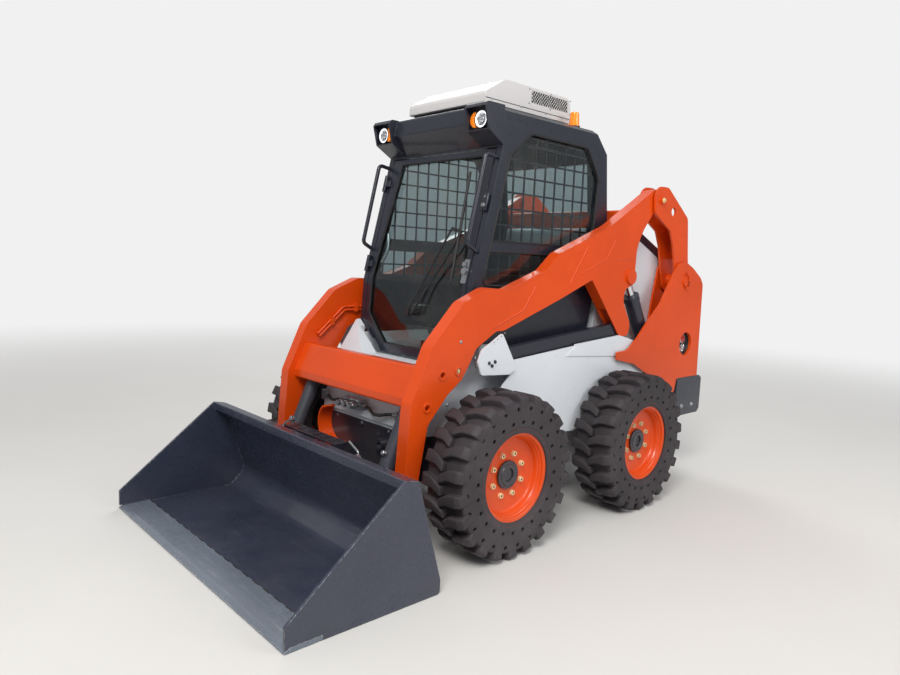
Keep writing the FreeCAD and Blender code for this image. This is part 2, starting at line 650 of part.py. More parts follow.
def uprights():
    """The rear towers: an outer plate and an inner plate on each side, with the pins between them."""
    c, f = rear_link_lower_pin, lift_cylinder_base_pin
    outer_x = tower_x
    inner_x = chassis_half_width
    side = [(-2, 871, 6), (105, 878, 80), (190, 940, 150), (300, 1042, 300), (420, 1138, 300), (565, 1340, 100),
            (612, 1396, 60), (700, 1412, 80), (800, 1372, 120), (905, 1312, 60), (940, 1270, 40),
            (956, 660, 6), (690, 660, 20), (f[0] + 110, f[1] - 55, 60), (f[0] - 50, f[1] - 55, 50),
            (f[0] - 78, f[1] + 62, 20), (302, 732, 300), (177, 791, 200), (-3, 827, 6)]
    outer = plate(side, outer_x, outer_x + upright_plate)
    lamp_hole = cross_rod(tail_lamp_centre, tail_lamp_radius, outer_x - 30, outer_x + upright_plate + 1)
    lamp_box = cross_rod(tail_lamp_centre, tail_lamp_radius + 6, outer_x - 26, outer_x)
    outer = cut(fuse([outer, lamp_box]), [lamp_hole])
    inner = plate([(470, 660, 0), (560, 1180, 80), (612, 1390, 60), (700, 1412, 80), (800, 1372, 120),
                   (905, 1312, 60), (940, 1270, 40), (956, 660, 0)], inner_x, inner_x + upright_plate)
    lower = plate([(480, 540, 20), (480, 662, 0), (700, 662, 0), (700, 540, 20)], inner_x, inner_x + upright_plate)
    rear = block(inner_x + upright_plate, outer_x, 934, 946, 662, 1150)
    floor = block(inner_x + upright_plate, outer_x, 700, 946, 662, 674)
    pivots = [cross_rod(c, 40.0, outer_x - link_clearance + 1, outer_x),
              cross_rod(c, 40.0, inner_x + upright_plate, arm_inner_x - side_gap - link_plate - 1),
              cross_rod(c, 36.0, outer_x + upright_plate, outer_x + upright_plate + 8)]
    base_pin = cross_rod(f, cylinder_pin_radius, inner_x + upright_plate, outer_x)
    tower = fuse([outer, inner, lower, rear, floor, base_pin] + pivots)
    hinges = [gate_hinge(z)[1] for z in gate_hinge_heights]
    return [fuse([tower] + hinges), mirrored(tower)]


def along_pins(a, b):
    """Start, direction and length in the side plane from one (y, z) pin to another."""
    start = V(0, a[0], a[1])
    axis = V(0, b[0] - a[0], b[1] - a[1])
    length = axis.Length
    axis.normalize()
    return start, axis, length


def cylinder_barrel(base, tip, x, eye, bore_radius, rod_radius, pin_radius, reach):
    """A barrel with its base eye; the rod runs in a close bore. reach is from the base pin to the gland's end."""
    start, axis, _ = along_pins(base, tip)
    start.x = x
    body = Part.makeCylinder(bore_radius, reach - 30, start + axis * 30, axis)
    gland = Part.makeCylinder(bore_radius + 4, 34, start + axis * (reach - 34), axis)
    lug = cross_rod(base, pin_radius + 17, x - eye / 2, x + eye / 2)
    neck = Part.makeCylinder(eye / 2, 60, start, axis)
    barrel = fuse([body, gland, lug, neck])
    slide = Part.makeCylinder(rod_radius + running_gap, reach, start + axis * 75, axis)
    return cut(barrel, [cross_rod(base, pin_radius + running_gap, x - eye, x + eye), slide])


def cylinder_rod(base, tip, x, eye, rod_radius, pin_radius, length):
    """A chromed rod with its eye; length is how far it reaches back from the eye."""
    start, axis, total = along_pins(base, tip)
    start.x = x
    end = start + axis * total
    bar = Part.makeCylinder(rod_radius, length - 32, end - axis * length, axis)
    lug = cross_rod(tip, pin_radius + 17, x - eye / 2, x + eye / 2)
    return cut(fuse([bar, lug]), [cross_rod(tip, pin_radius + 1, x - eye, x + eye)])


def hydraulic_cylinders():
    """The lift and tilt pairs. nose is from gland to rod pin at rest, tail from base pin to the rod's end."""
    # (node, base pin, rod pin, x, eye width, bore, rod, pin, nose, tail)
    table = [("lift_cylinder", lift_cylinder_base_pin, lift_cylinder_rod_pin, arm_centre_x, eye_width,
              lift_bore_radius, lift_rod_radius, cylinder_pin_radius, 132.0, 85.0),
             ("tilt_cylinder", tilt_cylinder_base_pin, tilt_cylinder_rod_pin, tilt_cylinder_x, tilt_eye_width,
              tilt_bore_radius, tilt_rod_radius, tilt_pin_radius, 104.0, 136.0)]
    for name, base, tip, x, eye, bore, rod_r, pin, nose, tail in table:
        total = along_pins(base, tip)[2]
        barrel = cylinder_barrel(base, tip, x, eye, bore, rod_r, pin, total - nose)
        piston_rod = cylinder_rod(base, tip, x, eye, rod_r, pin, total - tail)
        save(name + "_barrels", both_sides([barrel]))
        save(name + "_rods", both_sides([piston_rod]))


# Back plane of the bucket: from the heel up to the rail
bucket_back_low = (-1563.0, 60.0)
bucket_back_high = (-1697.0, 500.0)


def bucket():
    """A wide dirt bucket: bent shell, side plates and a boxed top rail."""
    t = bucket_plate
    low, high = bucket_back_low, bucket_back_high
    edge_rear = bucket_lip_y + cutting_edge_depth
    half = bucket_half_width
    shell = plate([(edge_rear, 0, 0), (-1600, 0, 46), (low[0], low[1], 40), (high[0], high[1], 0),
                   (high[0] - t, high[1], 0), (low[0] - t, low[1] + 36, 70), (-1668, t, 70), (edge_rear, t, 0)],
                  -half + t, half - t)
    rail = plate([(high[0], high[1], 4), (high[0] - 70, high[1] + 14, 4), (high[0] - 62, high[1] - 34, 4),
                  (high[0] - t / 2, high[1] - 30, 0)], -half + t, half - t)
    cheek = plate([(bucket_lip_y, cutting_edge_thickness, 0), (bucket_lip_y, 96, 8), (high[0] - 66, high[1] + 12, 10),
                   (high[0], high[1], 6), (low[0], low[1], 40), (low[0] - 2, 0, 18), (edge_rear, 0, 0),
                   (edge_rear, cutting_edge_thickness, 0)], half - t, half)
    return fuse([shell, rail, cheek, mirrored(cheek)])


def cutting_edge():
    """The thick bolted-on lip with a bevelled front."""
    y = bucket_lip_y
    profile = [(y, 0, 0), (y + cutting_edge_depth, 0, 0), (y + cutting_edge_depth, cutting_edge_thickness, 0),
               (y + 26, cutting_edge_thickness, 0), (y, 8, 0)]
    return plate(profile, -bucket_half_width, bucket_half_width)


lever_pivot = (338.0, 448.0)


def back_plane_point(height, out):
    """A (y, z) point at a height on the bucket's back plane, moved out behind it."""
    low, high = bucket_back_low, bucket_back_high
    dy, dz = high[0] - low[0], high[1] - low[1]
    length = math.hypot(dy, dz)
    y = low[0] + dy * (height - low[1]) / dz
    return (y + out * dz / length, height - out * dy / length)


def quick_attach():
    """The attachment frame behind the bucket: face plate, ears for the arm pins and the cylinder eyes."""
    bottom, top = 72.0, 474.0
    skin = 14.0
    corners = [back_plane_point(bottom, 0), back_plane_point(top, 0), back_plane_point(top, skin),
               back_plane_point(bottom, skin)]
    outer_ear = arm_outer_x + 18
    face = plate([(y, z, 0) for y, z in corners], -outer_ear, outer_ear)
    h, p = bucket_pin, tilt_cylinder_rod_pin
    ears = []
    base_low, base_high = back_plane_point(bottom + 10, skin - 2), back_plane_point(330, skin - 2)
    hinge = [(base_low[0], base_low[1], 0), (base_high[0], base_high[1], 0), (h[0] + 20, h[1] + 48, 40),
             (h[0] + 46, h[1] - 40, 40), (h[0] - 20, h[1] - 60, 20)]
    for x0, x1 in ((arm_inner_x - 18, arm_inner_x - 6), (arm_outer_x + 6, outer_ear)):
        ears.append(plate(hinge, x0, x1))
    hinge_pin = cross_rod(h, cylinder_pin_radius, arm_inner_x - 18, outer_ear)
    tall_low, tall_high = back_plane_point(150, skin - 2), back_plane_point(345, skin - 2)
    tilt = [(tall_low[0], tall_low[1], 0), (tall_high[0], tall_high[1], 0), (p[0] + 10, p[1] + 34, 30),
            (p[0] + 34, p[1] - 20, 30), (p[0] - 10, p[1] - 60, 20)]
    gap = tilt_eye_width / 2 + 8
    for x in (tilt_cylinder_x - gap, tilt_cylinder_x + gap):
        ears.append(plate(tilt, x - 6, x + 6))
    step_y, step_z = back_plane_point(top, skin)[0], top + 18
    step = block(-230, 230, step_y + 4, step_y + 78, step_z, step_z + 6)
    slots = [block(x - 26, x + 26, step_y + y, step_y + y + 10, step_z - 1, step_z + 7)
             for x in (-175, -105, -35, 35, 105, 175) for y in (18, 38, 58)]
    low, high = back_plane_point(top - 40, skin - 4), back_plane_point(top - 2, skin - 4)
    props = [plate([low + (0,), high + (0,), (step_y + 4, step_z, 0), (step_y + 70, step_z, 0),
                    (low[0] + 16, low[1], 0)], x - 5, x + 5) for x in (-225, 225)]
    return fuse(both_sides(ears + [hinge_pin]) + [face, cut(step, slots)] + props)


def latch_levers():
    """The hand levers that lock an attachment on its frame: a pivot boss and a bent bar on each side."""
    x, z = lever_pivot
    y = back_plane_point(z, 14.0)[0]
    boss = Part.makeCylinder(16, 60, V(x, y + 1, z), V(0, 1, 0))
    collar = Part.makeCylinder(21, 10, V(x, y + 42, z), V(0, 1, 0))
    handle = bent_bar([V(x, y + 55, z), V(x - 8, y + 57, z + 30), V(x - 78, y + 57, z + 62)], 6, 12)
    return solids_of(cut(fuse(both_sides([fuse([boss, collar, handle])])), [quick_attach()]))


def cab_ring(inset, front_inset, x_half):
    """The cab's side outline moved inwards, as a solid across the machine."""
    f = front_profile(front_inset)
    side = [(f[0][0], f[0][1], 0), (f[1][0], f[1][1], 0), (f[2][0], f[2][1], 0), (f[3][0], f[3][1], 0),
            (-880 + front_inset, roof_z - inset, 0), (-135, roof_z - inset, 0), (-15 - inset, 1995 - inset * 0.4, 0),
            (28 - inset, 1612, 0), (-71 - inset, 1160, 0), (-128 - inset, cab_floor_z, 0),
            (-1000 + front_inset, cab_floor_z, 0), (-1000 + front_inset, cab_front[0][1], 0)]
    return plate(side, -x_half, x_half)


def side_window():
    """Outline of the big side window."""
    return [(-985, 1240, 30), (-823, 1889, 30), (-674, 2011, 50), (-196, 2008, 50), (-78, 1850, 80), (-132, 1240, 40)]


def front_shape(corners, y0, y1):
    """An (x, z) outline made solid between two y planes, for doors and windows seen from the front."""
    points = [V(x, y0, z) for x, z in corners]
    return Part.Face(Part.makePolygon(points + [points[0]])).extrude(V(0, y1 - y0, 0))


door_half = cab_half_width - 45
door_outline = [(-door_half, 1012), (155 - door_half, 838), (door_half - 155, 838), (door_half, 1012),
                (door_half, 1916), (-door_half, 1916)]
glass_half = door_half - 27
glass_outline = [(-glass_half, 1040), (146 - glass_half, 884), (glass_half - 146, 884), (glass_half, 1040),
                 (glass_half, 1250), (glass_half - 52, 1888), (52 - glass_half, 1888), (-glass_half, 1250)]


def grown(corners, by):
    """The door outline with a gap all round it, and open at its foot."""
    return [(x + math.copysign(by, x), z + (by if z > 1500 else (-20.0 if z < 900 else 0))) for x, z in corners]


def rear_window():
    half = cab_half_width - 120
    return block(-half, half, -150, 60, 1480, 1950)


def cab_shell():
    """The hollow steel cab, open for the front door and cut for its side and rear windows."""
    outer = cab_ring(0.0, 0.0, cab_half_width)
    hollow = cab_ring(cab_wall, cab_wall + 8, cab_half_width - cab_wall)
    under = block(-cab_half_width + cab_wall, cab_half_width - cab_wall, -990, -170, 800, 1200)
    chamfers = []
    foot = cab_chamfer[0][0] - 4
    for side in (1, -1):
        corner = [(side * foot, 820), (side * foot, 830), (side * cab_half_width, 1005),
                  (side * (cab_half_width + 30), 1005), (side * (cab_half_width + 30), 820)]
        chamfers.append(front_shape(corner, -1100, -999))
    way = front_shape(grown(door_outline, door_gap), -1200, -800)
    bar = block(-600, 600, -1100, 0, window_bar[0], window_bar[1])
    side_cut = plate(side_window(), -600, 600).cut(bar)
    rear_cut = rear_window()
    roof_edges = []
    for side in (1, -1):
        edge = [(side * (cab_half_width - 26), roof_z + 1), (side * (cab_half_width + 5), roof_z - 25),
                (side * (cab_half_width + 5), roof_z + 1)]
        roof_edges.append(front_shape(edge, -1100, 100))
    shell = cut(outer, [hollow, under, way, side_cut, rear_cut] + chamfers + roof_edges)
    hinges = [door_hinge(z)[1] for z in door_hinge_heights]
    return solids_of(fuse([shell] + hinges))


def door():
    """The front door: a bent leaf that follows the cab's front, cut for the glass."""
    f, g = front_profile(0.0), front_profile(door_thickness)
    leaf = plate([(y, z, 0) for y, z in f] + [(y, z, 0) for y, z in reversed(g)], -cab_half_width, cab_half_width)
    leaf = leaf.common(front_shape(door_outline, -1200, -700))
    over = plate([(-900, 1920, 0), (-830, 1903, 0), (-830, 1960, 0), (-900, 1960, 0)], -cab_half_width, cab_half_width)
    leaf = leaf.cut(over)
    opening = front_shape(glass_outline, -1200, -700)
    frame = leaf.cut(opening)
    mid = (door_thickness - glass_thickness) / 2
    f, g = front_profile(mid), front_profile(mid + glass_thickness)
    pane = plate([(y, z, 0) for y, z in f] + [(y, z, 0) for y, z in reversed(g)], -cab_half_width, cab_half_width)
    pane = pane.common(opening)
    hinges = [door_hinge(z)[0] for z in door_hinge_heights]
    save("door_frame", solids_of(fuse([frame] + hinges)))
    save("door_glass", solids_of(pane))


def door_wiper():
    """The wiper: a spindle through the glass, two arms, their cross link and the blade."""
    low, clear = 1078.0, 24.0
    feet = [V(0, -1084, low), V(40, -1084, low - 4)]
    tops = [on_front(240, 1516, clear), on_front(318, 1496, clear)]
    blade = [on_front(279, 1800, 20), on_front(311, 1246, 20)]
    pieces = [rod(feet[0], tops[0], 5), rod(feet[1], tops[1], 5), rod(tops[0], tops[1], 6), rod(blade[0], blade[1], 7)]
    spindle = Part.makeCylinder(20, 60, V(0, -1092, low), V(0, 1, 0))
    pieces.append(Part.makeCylinder(9, 50, V(40, -1092, low - 4), V(0, 1, 0)))
    pieces.append(spindle)
    depth = door_thickness
    behind = [(y + (depth - glass_thickness) / 2, z, 0) for y, z in cab_front]
    solid = plate(behind + [(-700, cab_front[3][1], 0), (-700, cab_front[0][1], 0)], -cab_half_width, cab_half_width)
    return solids_of(fuse(pieces).cut(solid))


def door_latch():
    """The round lock and pull on the door's free side, and its plate."""
    x = cab_half_width - 64
    backing = front_shape([(x - 20, -60), (x + 16, -60), (x + 16, 60), (x - 20, 60)], -8, 0)
    lock = Part.makeCylinder(18, 20, V(x - 2, -20, 0), V(0, 1, 0))
    pull = block(x - 14, x + 10, -26, 0, 22, 44)
    return solids_of(leaning(fuse([backing, lock, pull]), 1305))


def cab_glass():
    """Side and rear panes, set in the middle of the walls."""
    x = cab_half_width - cab_wall / 2
    bar = block(0, 600, -1100, 0, window_bar[0], window_bar[1])
    side = plate(side_window(), x - glass_thickness / 2, x + glass_thickness / 2).cut(bar)
    half = cab_half_width - 120
    ring = cab_ring(cab_wall / 2, cab_wall / 2, half).cut(cab_ring(cab_wall / 2 + glass_thickness, 100.0, half + 10))
    rear = ring.common(rear_window())
    return both_sides(solids_of(side)) + solids_of(rear)


def window_guards():
    """Steel grids set in the side windows behind the glass: flat bars across and up at one pitch."""
    x = cab_half_width - cab_wall
    bar = block(0, 600, -1100, 0, window_bar[0], window_bar[1])
    sheet = plate(side_window(), x, x + 6).cut(bar)
    hole = guard_pitch - guard_bar
    holes = []
    for row in range(10):
        z = window_bar[1] + guard_bar + row * guard_pitch if row < 7 else window_bar[0] - (row - 6) * guard_pitch
        for column in range(12):
            y = -1010 + column * guard_pitch
            holes.append(block(x - 1, x + 7, y, y + hole, z, z + hole))
    rim = plate(side_window(), x - 2, x + 8)
    rim = rim.cut(plate([(-952, 1262, 24), (-806, 1874, 24), (-668, 1995, 44), (-202, 1992, 44), (-96, 1842, 74),
                         (-145, 1262, 34)], x - 3, x + 9))
    frame = rim.common(sheet)
    return both_sides(solids_of(fuse([sheet.cut(Part.makeCompound(holes)), frame])))


def roof_visor():
    """The roof's front overhang with a hollow lamp hood at each end."""
    x0, x1 = cab_half_width - 150, cab_half_width
    top = roof_z + 5
    beam = plate([(-880, top - 188, 0), (-972, top - 90, 10), (-956, top, 20), (-880, top, 0)], -x0, x0)
    hood = plate([(-880, top - 188, 0), (-985, top - 128, 12), (-1012, top - 22, 14), (-996, top, 14),
                  (-880, top, 0)], x0, x1)
    cavity = block(x0 + 12, x1 - 10, -1040, lamp_back_y, top - 124, top - 22)
    hood = cut(hood, [cavity])
    return fuse([beam, hood, mirrored(hood)])


def headlamps():
    """Round lamps with an amber side piece, seated in the hoods."""
    x = cab_half_width - 61
    y, z = lamp_back_y - 16, roof_z - 71
    lamp = Part.makeCylinder(45, 16, V(x, y, z), V(0, 1, 0))
    amber = block(x - 73, x - 51, y, lamp_back_y, z - 38, z + 40)
    return both_sides([lamp, amber])


def roof_unit():
    """The pale air-conditioning housing on the roof, with a grille in each side."""
    top, foot = roof_unit_top_z, roof_z + roof_unit_gap
    side = [(-872, foot, 6), (-868, foot + 54, 30), (-730, top, 60), (-215, top, 20), (-187, top - 30, 20),
            (-187, foot, 6)]
    half = roof_unit_half_width
    grille = block(half - 4, half + 1, -521, -206, top - 79, top - 16)
    return [cut(plate(side, -half, half), [grille, mirrored(grille)])]


def roof_unit_base():
    half = roof_unit_half_width - 20
    return [block(-half, half, -850, -205, roof_z, roof_z + roof_unit_gap)]


def beacon():
    x = cab_half_width - 78
    base = Part.makeCylinder(34, 14, V(x, -235, roof_z), V(0, 0, 1))
    dome = Part.makeCone(30, 25, 76, V(x, -235, roof_z + 14), V(0, 0, 1))
    return [fuse([base, dome])]


def engine_hood():
    """White side covers and the sloping top over the engine."""
    side = [(-60, chassis_top_z, 0), (80, 1590, 40), (380, 1590, 80), (640, 1480, 60), (900, 1190, 20),
            (900, chassis_top_z, 0)]
    inside = chassis_half_width - 22
    outer = plate(side, -inside - 14, inside + 14)
    hollow = [(-30, chassis_top_z, 0), (98, 1574, 40), (366, 1574, 80), (626, 1464, 60), (886, 1174, 20),
              (886, chassis_top_z, 0)]
    inner = plate(hollow, -inside, inside).fuse(block(-inside, inside, 0, 905, 900, 1150))
    slots = []
    for i in range(6):
        slots.append(block(-inside + 130, inside - 130, 690 + i * 32, 706 + i * 32, 1150, 1600))
    return solids_of(cut(outer, [inner] + slots))


def engine():
    return [block(-250, 250, 110, 780, 300, 1020)]


def tailgate():
    """The rear door with louvres, hinged at its side."""
    half = chassis_half_width - 16
    panel = block(-half, half, 926, 956, 670, 1176)
    slots = [block(-half + 106, half - 106, 920, 960, 740 + i * 44, 758 + i * 44) for i in range(8)]
    return solids_of(fuse([cut(panel, slots)] + [gate_hinge(z)[0] for z in gate_hinge_heights]))


def counterweight():
    """The dark block round the tail, below the uprights, with a tie-down lug under each side."""
    rear = counterweight_rear_y
    outer = plate([(704, 405, 0), (rear - 26, 405, 0), (rear, 431, 0), (rear, 640, 14), (rear - 30, 658, 10),
                   (704, 658, 0)], -tower_outer_x, tower_outer_x)
    inside = chassis_half_width + 18
    inner = block(-inside, inside, 600, chassis_rear_y, 300, 700)
    lug = plate([(930, 407, 0), (930, 350, 24), (955, 322, 24), (985, 350, 24), (985, 407, 0)],
                tie_down_x - 10, tie_down_x + 10)
    eye = cross_rod(tie_down_eye, tie_down_radius, tie_down_x - 11, tie_down_x + 11)
    return solids_of(cut(fuse([cut(outer, [inner])] + both_sides([lug])), both_sides([eye])))


def tail_lamps():
    lamp = cross_rod(tail_lamp_centre, tail_lamp_radius - 0.1, tower_x - 24, tower_x - 4)
    return both_sides([lamp])


def seat():
    """A plain suspension base with a cushion and a backrest."""
    base = block(-200, 200, -620, -260, 470, 690)
    cushion = block(-235, 235, -680, -262, 690, 790)
    back = plate([(-258, 690, 10), (-300, 800, 20), (-255, 1290, 40), (-180, 1290, 30), (-208, 690, 10)], -225, 225)
    save("seat_base", [base])
    save("seat_cushions", [cushion, back])


def cab_controls():
    """Side consoles with a lever on each."""
    outer = cab_half_width - cab_wall - 25
    x = outer - 70
    console = block(x - 70, outer, -640, -200, 470, 860)
    lever = rod(V(x, -600, 850), V(x, -660, 1010), 14)
    knob = Part.makeSphere(26, V(x, -665, 1025))
    return both_sides([fuse([console, lever, knob])])


def grab_rails():
    """Bent round rails beside the door."""
    x = cab_half_width - 22
    points = [V(x, -880, 1868), V(x, -975, 1885), V(x, -1075, 1440), V(x, -990, 1394)]
    bar = bent_bar(points, 11, 26).cut(cab_ring(0.0, 0.0, cab_half_width))
    return both_sides([bar])


wheels()
axle_housings()
hydraulic_cylinders()
door()
seat()

nodes = {
    "chassis": lambda: solids_of(chassis()),
    "front_guard": front_guard,
    "hose_guard": hose_guard,
    "hydraulic_couplers": hydraulic_couplers,
    "hose_left": lambda: hose(1),
    "hose_right": lambda: hose(-1),
    "fenders": fenders,
    "link_brackets": link_brackets,
    "uprights": uprights,
    "counterweight": counterweight,
    "engine": engine,
    "engine_hood": engine_hood,
    "tailgate": tailgate,
    "tail_lamps": tail_lamps,
    "cab_shell": cab_shell,
    "cab_glass": cab_glass,
    "window_guards": window_guards,
    "door_wiper": door_wiper,
    "door_latch": door_latch,
    "roof_visor": lambda: solids_of(roof_visor()),
    "headlamps": headlamps,
    "roof_unit": roof_unit,
    "roof_unit_base": roof_unit_base,
    "beacon": beacon,
    "cab_controls": cab_controls,
    "grab_rails": grab_rails,
    "lift_arms": lambda: solids_of(lift_arms()),
    "arm_tubes": arm_tubes,
    "control_links": control_links,
    "rear_links": rear_links,
    "bucket": lambda: solids_of(bucket()),
    "cutting_edge": lambda: [cutting_edge()],
    "quick_attach": lambda: solids_of(quick_attach()),
    "latch_levers": latch_levers,
}
for node, make in nodes.items():
    save(node, make())
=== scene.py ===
import json
import math

import bmesh
import bpy
from mathutils import Matrix, Vector
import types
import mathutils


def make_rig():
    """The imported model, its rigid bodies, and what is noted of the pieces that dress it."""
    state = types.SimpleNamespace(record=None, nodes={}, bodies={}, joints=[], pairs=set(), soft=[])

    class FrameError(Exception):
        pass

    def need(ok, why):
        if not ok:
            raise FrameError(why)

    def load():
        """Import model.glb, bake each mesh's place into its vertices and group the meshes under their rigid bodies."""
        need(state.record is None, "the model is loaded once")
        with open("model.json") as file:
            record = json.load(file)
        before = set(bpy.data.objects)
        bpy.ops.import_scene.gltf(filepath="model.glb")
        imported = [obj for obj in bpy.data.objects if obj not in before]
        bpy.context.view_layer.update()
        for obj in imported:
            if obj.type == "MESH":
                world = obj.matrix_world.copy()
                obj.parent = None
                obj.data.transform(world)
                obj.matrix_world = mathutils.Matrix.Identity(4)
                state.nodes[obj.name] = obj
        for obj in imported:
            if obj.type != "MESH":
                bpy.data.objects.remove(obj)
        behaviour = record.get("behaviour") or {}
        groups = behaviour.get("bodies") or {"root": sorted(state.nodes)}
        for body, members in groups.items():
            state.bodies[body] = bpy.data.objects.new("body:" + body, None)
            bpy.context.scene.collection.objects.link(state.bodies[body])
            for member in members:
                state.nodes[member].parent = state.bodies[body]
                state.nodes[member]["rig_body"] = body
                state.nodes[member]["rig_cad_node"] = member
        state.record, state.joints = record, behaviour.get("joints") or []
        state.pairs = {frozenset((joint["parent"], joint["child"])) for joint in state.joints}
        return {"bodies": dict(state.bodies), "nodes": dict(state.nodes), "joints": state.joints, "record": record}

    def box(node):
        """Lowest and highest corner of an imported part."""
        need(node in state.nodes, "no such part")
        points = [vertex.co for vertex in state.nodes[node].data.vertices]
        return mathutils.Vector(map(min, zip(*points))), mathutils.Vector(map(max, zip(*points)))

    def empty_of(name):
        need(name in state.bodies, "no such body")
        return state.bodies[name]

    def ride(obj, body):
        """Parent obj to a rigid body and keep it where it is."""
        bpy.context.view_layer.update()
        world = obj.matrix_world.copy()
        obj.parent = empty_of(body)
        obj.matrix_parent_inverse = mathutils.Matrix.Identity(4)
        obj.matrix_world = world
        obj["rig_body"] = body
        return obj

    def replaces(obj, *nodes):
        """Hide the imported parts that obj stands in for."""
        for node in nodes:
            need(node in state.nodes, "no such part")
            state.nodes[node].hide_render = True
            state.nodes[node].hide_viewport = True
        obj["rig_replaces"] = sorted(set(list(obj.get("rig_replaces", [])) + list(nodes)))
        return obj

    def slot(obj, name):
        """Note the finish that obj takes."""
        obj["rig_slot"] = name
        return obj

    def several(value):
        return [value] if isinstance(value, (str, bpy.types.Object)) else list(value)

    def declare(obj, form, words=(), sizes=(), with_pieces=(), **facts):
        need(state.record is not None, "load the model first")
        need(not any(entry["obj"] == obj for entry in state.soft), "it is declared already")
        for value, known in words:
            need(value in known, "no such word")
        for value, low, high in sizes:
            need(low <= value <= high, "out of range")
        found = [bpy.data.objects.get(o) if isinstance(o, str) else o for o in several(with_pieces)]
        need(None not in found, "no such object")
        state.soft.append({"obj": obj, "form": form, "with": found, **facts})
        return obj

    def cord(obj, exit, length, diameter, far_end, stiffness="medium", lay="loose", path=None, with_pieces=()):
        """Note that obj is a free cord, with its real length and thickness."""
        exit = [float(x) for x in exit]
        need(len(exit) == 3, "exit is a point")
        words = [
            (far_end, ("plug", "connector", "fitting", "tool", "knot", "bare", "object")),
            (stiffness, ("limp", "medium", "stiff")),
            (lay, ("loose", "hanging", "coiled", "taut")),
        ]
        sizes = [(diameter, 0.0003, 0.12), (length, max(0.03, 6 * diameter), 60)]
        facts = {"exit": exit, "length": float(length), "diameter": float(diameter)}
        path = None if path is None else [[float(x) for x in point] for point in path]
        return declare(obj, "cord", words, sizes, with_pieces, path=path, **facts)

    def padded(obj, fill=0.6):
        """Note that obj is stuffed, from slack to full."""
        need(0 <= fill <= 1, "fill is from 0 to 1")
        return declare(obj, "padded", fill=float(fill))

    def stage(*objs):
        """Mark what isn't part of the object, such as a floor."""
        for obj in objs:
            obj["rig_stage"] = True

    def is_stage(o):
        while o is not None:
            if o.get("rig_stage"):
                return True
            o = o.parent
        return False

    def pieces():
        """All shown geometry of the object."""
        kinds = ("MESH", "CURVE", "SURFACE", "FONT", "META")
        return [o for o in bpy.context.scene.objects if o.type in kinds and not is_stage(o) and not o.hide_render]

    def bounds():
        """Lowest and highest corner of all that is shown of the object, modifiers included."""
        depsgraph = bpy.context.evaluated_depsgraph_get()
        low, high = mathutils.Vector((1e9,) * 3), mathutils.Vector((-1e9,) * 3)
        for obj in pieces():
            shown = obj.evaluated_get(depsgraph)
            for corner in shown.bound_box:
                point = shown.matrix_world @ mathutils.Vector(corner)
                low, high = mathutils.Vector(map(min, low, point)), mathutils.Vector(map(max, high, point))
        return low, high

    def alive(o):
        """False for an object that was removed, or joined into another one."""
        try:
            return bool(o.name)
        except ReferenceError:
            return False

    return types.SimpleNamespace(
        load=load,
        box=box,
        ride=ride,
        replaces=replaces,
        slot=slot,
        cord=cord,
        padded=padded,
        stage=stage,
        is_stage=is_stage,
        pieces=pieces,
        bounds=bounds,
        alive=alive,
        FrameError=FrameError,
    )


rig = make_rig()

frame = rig.load()
cad_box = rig.bounds()
NODES = frame["nodes"]
SHIFT = 626.0  # from the rear axle's line to the middle of the footprint, in millimetres
SIDES = (1.0, -1.0)


def P(x, y, z):
    """A point in millimetres from the rear axle's line, in metres of the row frame."""
    return Vector((x, y + SHIFT, z)) / 1000.0


# Materials

class Nodes:
    """A short way to write a node tree."""

    def __init__(self, tree):
        self.tree = tree
        tree.nodes.clear()

    def add(self, kind, **values):
        node = self.tree.nodes.new(kind)
        for key, value in values.items():
            setattr(node, key, value)
        return node

    def feed(self, socket, value):
        """A link where the value is a socket of another node, a fixed value otherwise."""
        if isinstance(value, bpy.types.NodeSocket):
            self.tree.links.new(value, socket)
        else:
            socket.default_value = value

    def put(self, node, **inputs):
        for key, value in inputs.items():
            self.feed(node.inputs[key.replace("_", " ")], value)
        return node

    def math(self, operation, a, b=0.0, clamp=False):
        node = self.add("ShaderNodeMath", operation=operation, use_clamp=clamp)
        self.feed(node.inputs[0], a)
        self.feed(node.inputs[1], b)
        return node.outputs[0]

    def noise(self, vector, scale, detail=4.0, rough=0.55):
        node = self.add("ShaderNodeTexNoise")
        self.put(node, Vector=vector, Scale=scale, Detail=detail, Roughness=rough)
        return node.outputs["Fac"]

    def span(self, value, low, high, to_low=0.0, to_high=1.0):
        node = self.add("ShaderNodeMapRange", interpolation_type="SMOOTHSTEP")
        self.put(node, Value=value, From_Min=low, From_Max=high, To_Min=to_low, To_Max=to_high)
        return node.outputs["Result"]

    def mix(self, factor, a, b):
        """Two colours mixed: the colour sockets stand behind those for numbers and vectors."""
        node = self.add("ShaderNodeMix", data_type="RGBA")
        for index, value in ((0, factor), (6, a), (7, b)):
            self.feed(node.inputs[index], value)
        return node.outputs[2]

    def blend(self, factor, a, b):
        """One shader over another."""
        node = self.add("ShaderNodeMixShader")
        for socket, value in zip(node.inputs, (factor, a, b)):
            self.feed(socket, value)
        return node.outputs[0]

    def stretched(self, vector, scale):
        node = self.add("ShaderNodeMapping")
        self.put(node, Vector=vector, Scale=scale)
        return node.outputs["Vector"]


def rgba(colour):
    return (colour[0], colour[1], colour[2], 1.0)


def srgb(r, g, b):
    """A colour given in 0-255 screen values, as linear light."""
    def one(v):
        v /= 255.0
        return v / 12.92 if v <= 0.04045 else ((v + 0.055) / 1.055) ** 2.4
    return (one(r), one(g), one(b))


DUST = srgb(150, 138, 120)


def new_material(name):
    """An empty material, its node tree and the socket that takes its shader."""
    material = bpy.data.materials.new(name)
    material.use_nodes = True
    n = Nodes(material.node_tree)
    return material, n, n.add("ShaderNodeOutputMaterial").inputs["Surface"]


